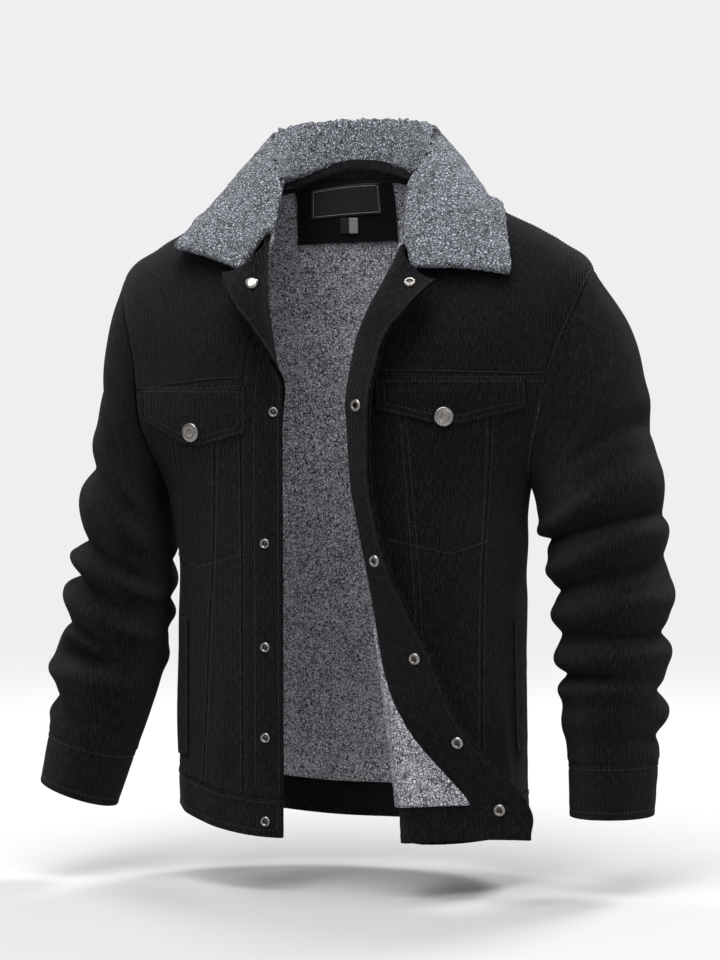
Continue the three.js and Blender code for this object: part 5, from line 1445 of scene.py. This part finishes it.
# The line at a distance from one border of a piece, with its normals
def borderLine(name, border, distance):
    outer, normals, borders = surfaces[name]
    away = borders[border]
    if border in ("left", "right"):
        outer, normals, away = outer.transpose(1, 0, 2), normals.transpose(1, 0, 2), away.T
        first, last = borders["bottom"].T, borders["top"].T
    else:
        first, last = borders["left"], borders["right"]
    if border in ("top", "right"):
        outer, normals, away, first, last = outer[::-1], normals[::-1], away[::-1], first[::-1], last[::-1]
    at = np.clip((away < distance).sum(axis=0), 1, len(away) - 1)
    column = np.arange(away.shape[1])
    low, high = away[at - 1, column], away[at, column]
    share = np.clip((distance - low) / np.maximum(high - low, 1e-6), 0, 1)[:, None]
    points = outer[at - 1, column] * (1 - share) + outer[at, column] * share
    kept = (first[at, column] >= min(distance, 9.0)) & (last[at, column] >= min(distance, 9.0))
    return points[kept], normals[at, column][kept]


def stitchArrays(points, normals, pitch, length):
    steps = np.linalg.norm(np.diff(points, axis=0), axis=-1)
    whole = np.concatenate([[0], np.cumsum(steps)])
    spots = np.arange(pitch / 2, whole[-1], pitch)

    def along(values, at):
        return np.stack([np.interp(at, whole, values[:, k]) for k in range(3)], axis=-1)
    centre = along(points, spots)
    ahead = unit(along(points, spots + 0.6) - along(points, spots - 0.6))
    out = unit(along(normals, spots))
    aside = np.cross(out, ahead)
    width, height, sunk = (stitchLook[name] for name in ("width", "height", "sunk"))
    ring = [(width, 0.05), (0.0, height), (-width, 0.05), (0.0, -sunk)]
    shape = [(-length / 2, 0.0, 0.0)] + [(-length / 4, a, b) for a, b in ring]
    shape += [(length / 4, a, b) for a, b in ring] + [(length / 2, 0.0, 0.0)]
    made = np.stack([centre + ahead * f + aside * a + out * b for f, a, b in shape], axis=1)
    quads = [[1 + k, 1 + (k + 1) % 4, 5 + (k + 1) % 4, 5 + k] for k in range(4)]
    triangles = [[0, 1 + (k + 1) % 4, 1 + k] for k in range(4)] + [[9, 5 + k, 5 + (k + 1) % 4] for k in range(4)]
    first = (np.arange(len(spots)) * len(shape))[:, None, None]
    return (made.reshape(-1, 3), (first + np.array(quads)).reshape(-1, 4),
            (first + np.array(triangles)).reshape(-1, 3))


def addStitches(name, lines, material, slotName, pitch, length):
    points, quads, triangles, total = [], [], [], 0
    for line, normals in lines:
        if len(line) < 3:
            continue
        made, madeQuads, madeTriangles = stitchArrays(line, normals, pitch, length)
        points.append(made)
        quads.append(madeQuads + total)
        triangles.append(madeTriangles + total)
        total += len(made)
    points = np.concatenate(points)
    piece = meshFromArrays(name, points, np.concatenate(quads), points * np.array([1, 0, 1]),
                           np.concatenate(triangles))
    place(piece, [], slotName, material)


def tableLines(table, side=""):
    return [borderLine(name.replace("_S", f"_{side}"), border, distance)
            for name, border, distances in table for distance in distances]


def bagLine(side):
    corners = np.array(stitchLook["bags"][side], float)
    at = np.linspace(0, len(corners) - 1, 80)
    x = np.interp(at, np.arange(len(corners)), corners[:, 0])
    z = np.interp(at, np.arange(len(corners)), corners[:, 1])
    base, normals = frontAtXZ(side, x, z)
    return base + normals * stitchLook["bagLift"], normals


pitch, length = stitchLook["pitch"], stitchLook["length"]
for side in signOf:
    addStitches(f"stitches_{side}", tableLines(stitchLook["lines"], side) + [bagLine(side)], thread, None,
                pitch, length)
addStitches("stitches_body", tableLines(stitchLook["shared"]), thread, None, pitch, length)
addStitches("stitches_patch", tableLines(stitchLook["neck"]), patchCloth, "patch_cloth", pitch, length)
addStitches("label_border", tableLines(stitchLook["frame"]), labelEdge, "label_cloth", 2.0, 2.4)
print("stitches sewn")


# Camera, floor and light
def addCamera():
    view = {"azimuth": 12.0, "elevation": 2.0, "distance": 3.3, "height": 0.9984,
            "aim": (0.01322, 0.00281, -0.3203)}
    azimuth, elevation = math.radians(view["azimuth"]), math.radians(view["elevation"])
    away = Vector((math.sin(azimuth) * math.cos(elevation), -math.cos(azimuth) * math.cos(elevation),
                   math.sin(elevation)))
    data = bpy.data.cameras.new("camera")
    data.sensor_fit = "VERTICAL"
    data.angle = 2 * math.atan(view["height"] / 2 / view["distance"])
    data.clip_end = 50
    camera = bpy.data.objects.new("camera", data)
    bpy.context.collection.objects.link(camera)
    camera.location = Vector(view["aim"]) + away * view["distance"]
    camera.rotation_euler = (-away).to_track_quat("-Z", "Y").to_euler()
    bpy.context.scene.camera = camera


# A flat pale floor that fades into the backdrop all round, so the jacket is seen from every side
def addFloor():
    floorLook = {"z": -0.735, "radius": 3.0, "fadeFrom": 0.7, "shade": 0.5, "sides": 64}
    ring = np.linspace(0, 2 * math.pi, floorLook["sides"], endpoint=False)
    points = [(floorLook["radius"] * math.cos(turn), floorLook["radius"] * math.sin(turn), 0) for turn in ring]
    mesh = bpy.data.meshes.new("floor")
    mesh.from_pydata(points, [], [list(range(floorLook["sides"]))])
    floor = bpy.data.objects.new("floor", mesh)
    floor.location = (0, 0, floorLook["z"])
    bpy.context.collection.objects.link(floor)
    material = bpy.data.materials.new("paleFloor")
    material.use_nodes = True
    tree = material.node_tree
    principled = tree.nodes["Principled BSDF"]
    principled.inputs["Base Color"].default_value = (floorLook["shade"],) * 3 + (1,)
    principled.inputs["Roughness"].default_value = 0.9
    principled.inputs["Specular IOR Level"].default_value = 0.1
    fromMiddle = tree.nodes.new("ShaderNodeVectorMath")
    fromMiddle.operation = "LENGTH"
    tree.links.new(tree.nodes.new("ShaderNodeTexCoord").outputs["Object"], fromMiddle.inputs[0])
    fade = tree.nodes.new("ShaderNodeMapRange")
    fade.interpolation_type = "SMOOTHSTEP"
    for name, value in (("From Min", floorLook["fadeFrom"]), ("From Max", floorLook["radius"]), ("To Min", 1),
                        ("To Max", 0)):
        fade.inputs[name].default_value = value
    tree.links.new(fromMiddle.outputs["Value"], fade.inputs["Value"])
    tree.links.new(fade.outputs["Result"], principled.inputs["Alpha"])
    mesh.materials.append(material)


# The world lights softly and shows a pale backdrop behind the jacket
def addWorld():
    worldLook = {"tint": (0.95, 0.96, 1.0, 1), "light": 0.36, "backdrop": (0.863, 0.863, 0.863, 1)}
    world = bpy.data.worlds.new("studio")
    world.use_nodes = True
    tree = world.node_tree
    soft = tree.nodes["Background"]
    soft.inputs["Color"].default_value = worldLook["tint"]
    soft.inputs["Strength"].default_value = worldLook["light"]
    backdrop = tree.nodes.new("ShaderNodeBackground")
    backdrop.inputs["Color"].default_value = worldLook["backdrop"]
    seen = tree.nodes.new("ShaderNodeMixShader")
    tree.links.new(tree.nodes.new("ShaderNodeLightPath").outputs["Is Camera Ray"], seen.inputs["Fac"])
    tree.links.new(soft.outputs[0], seen.inputs[1])
    tree.links.new(backdrop.outputs[0], seen.inputs[2])
    tree.links.new(seen.outputs[0], tree.nodes["World Output"].inputs["Surface"])
    bpy.context.scene.world = world


# All lamps point at the middle of the jacket
def addLights():
    middle = Vector((0, 0, -0.3))
    lamps = {
        "key": {"at": (-0.7, -2.9, 2.2), "size": 1.6, "power": 46.0},
        "fill": {"at": (2.2, -2.6, 0.9), "size": 1.8, "power": 20.0},
        "top": {"at": (0.1, -0.9, 2.5), "size": 2.4, "power": 100.0},
        "backLeft": {"at": (1.6, 3.0, 2.4), "size": 1.4, "power": 170.0},
        "backRight": {"at": (-2.4, 2.2, 1.4), "size": 1.6, "power": 80.0},
    }
    for name, lamp in lamps.items():
        data = bpy.data.lights.new(name, "AREA")
        data.shape = "DISK"
        data.size = lamp["size"]
        data.energy = lamp["power"]
        light = bpy.data.objects.new(name, data)
        bpy.context.collection.objects.link(light)
        light.location = lamp["at"]
        light.rotation_euler = (middle - Vector(lamp["at"])).to_track_quat("-Z", "Y").to_euler()
    bpy.context.scene.view_settings.view_transform = "Standard"


addCamera()
addFloor()
addWorld()
addLights()
print("camera, floor and light set")
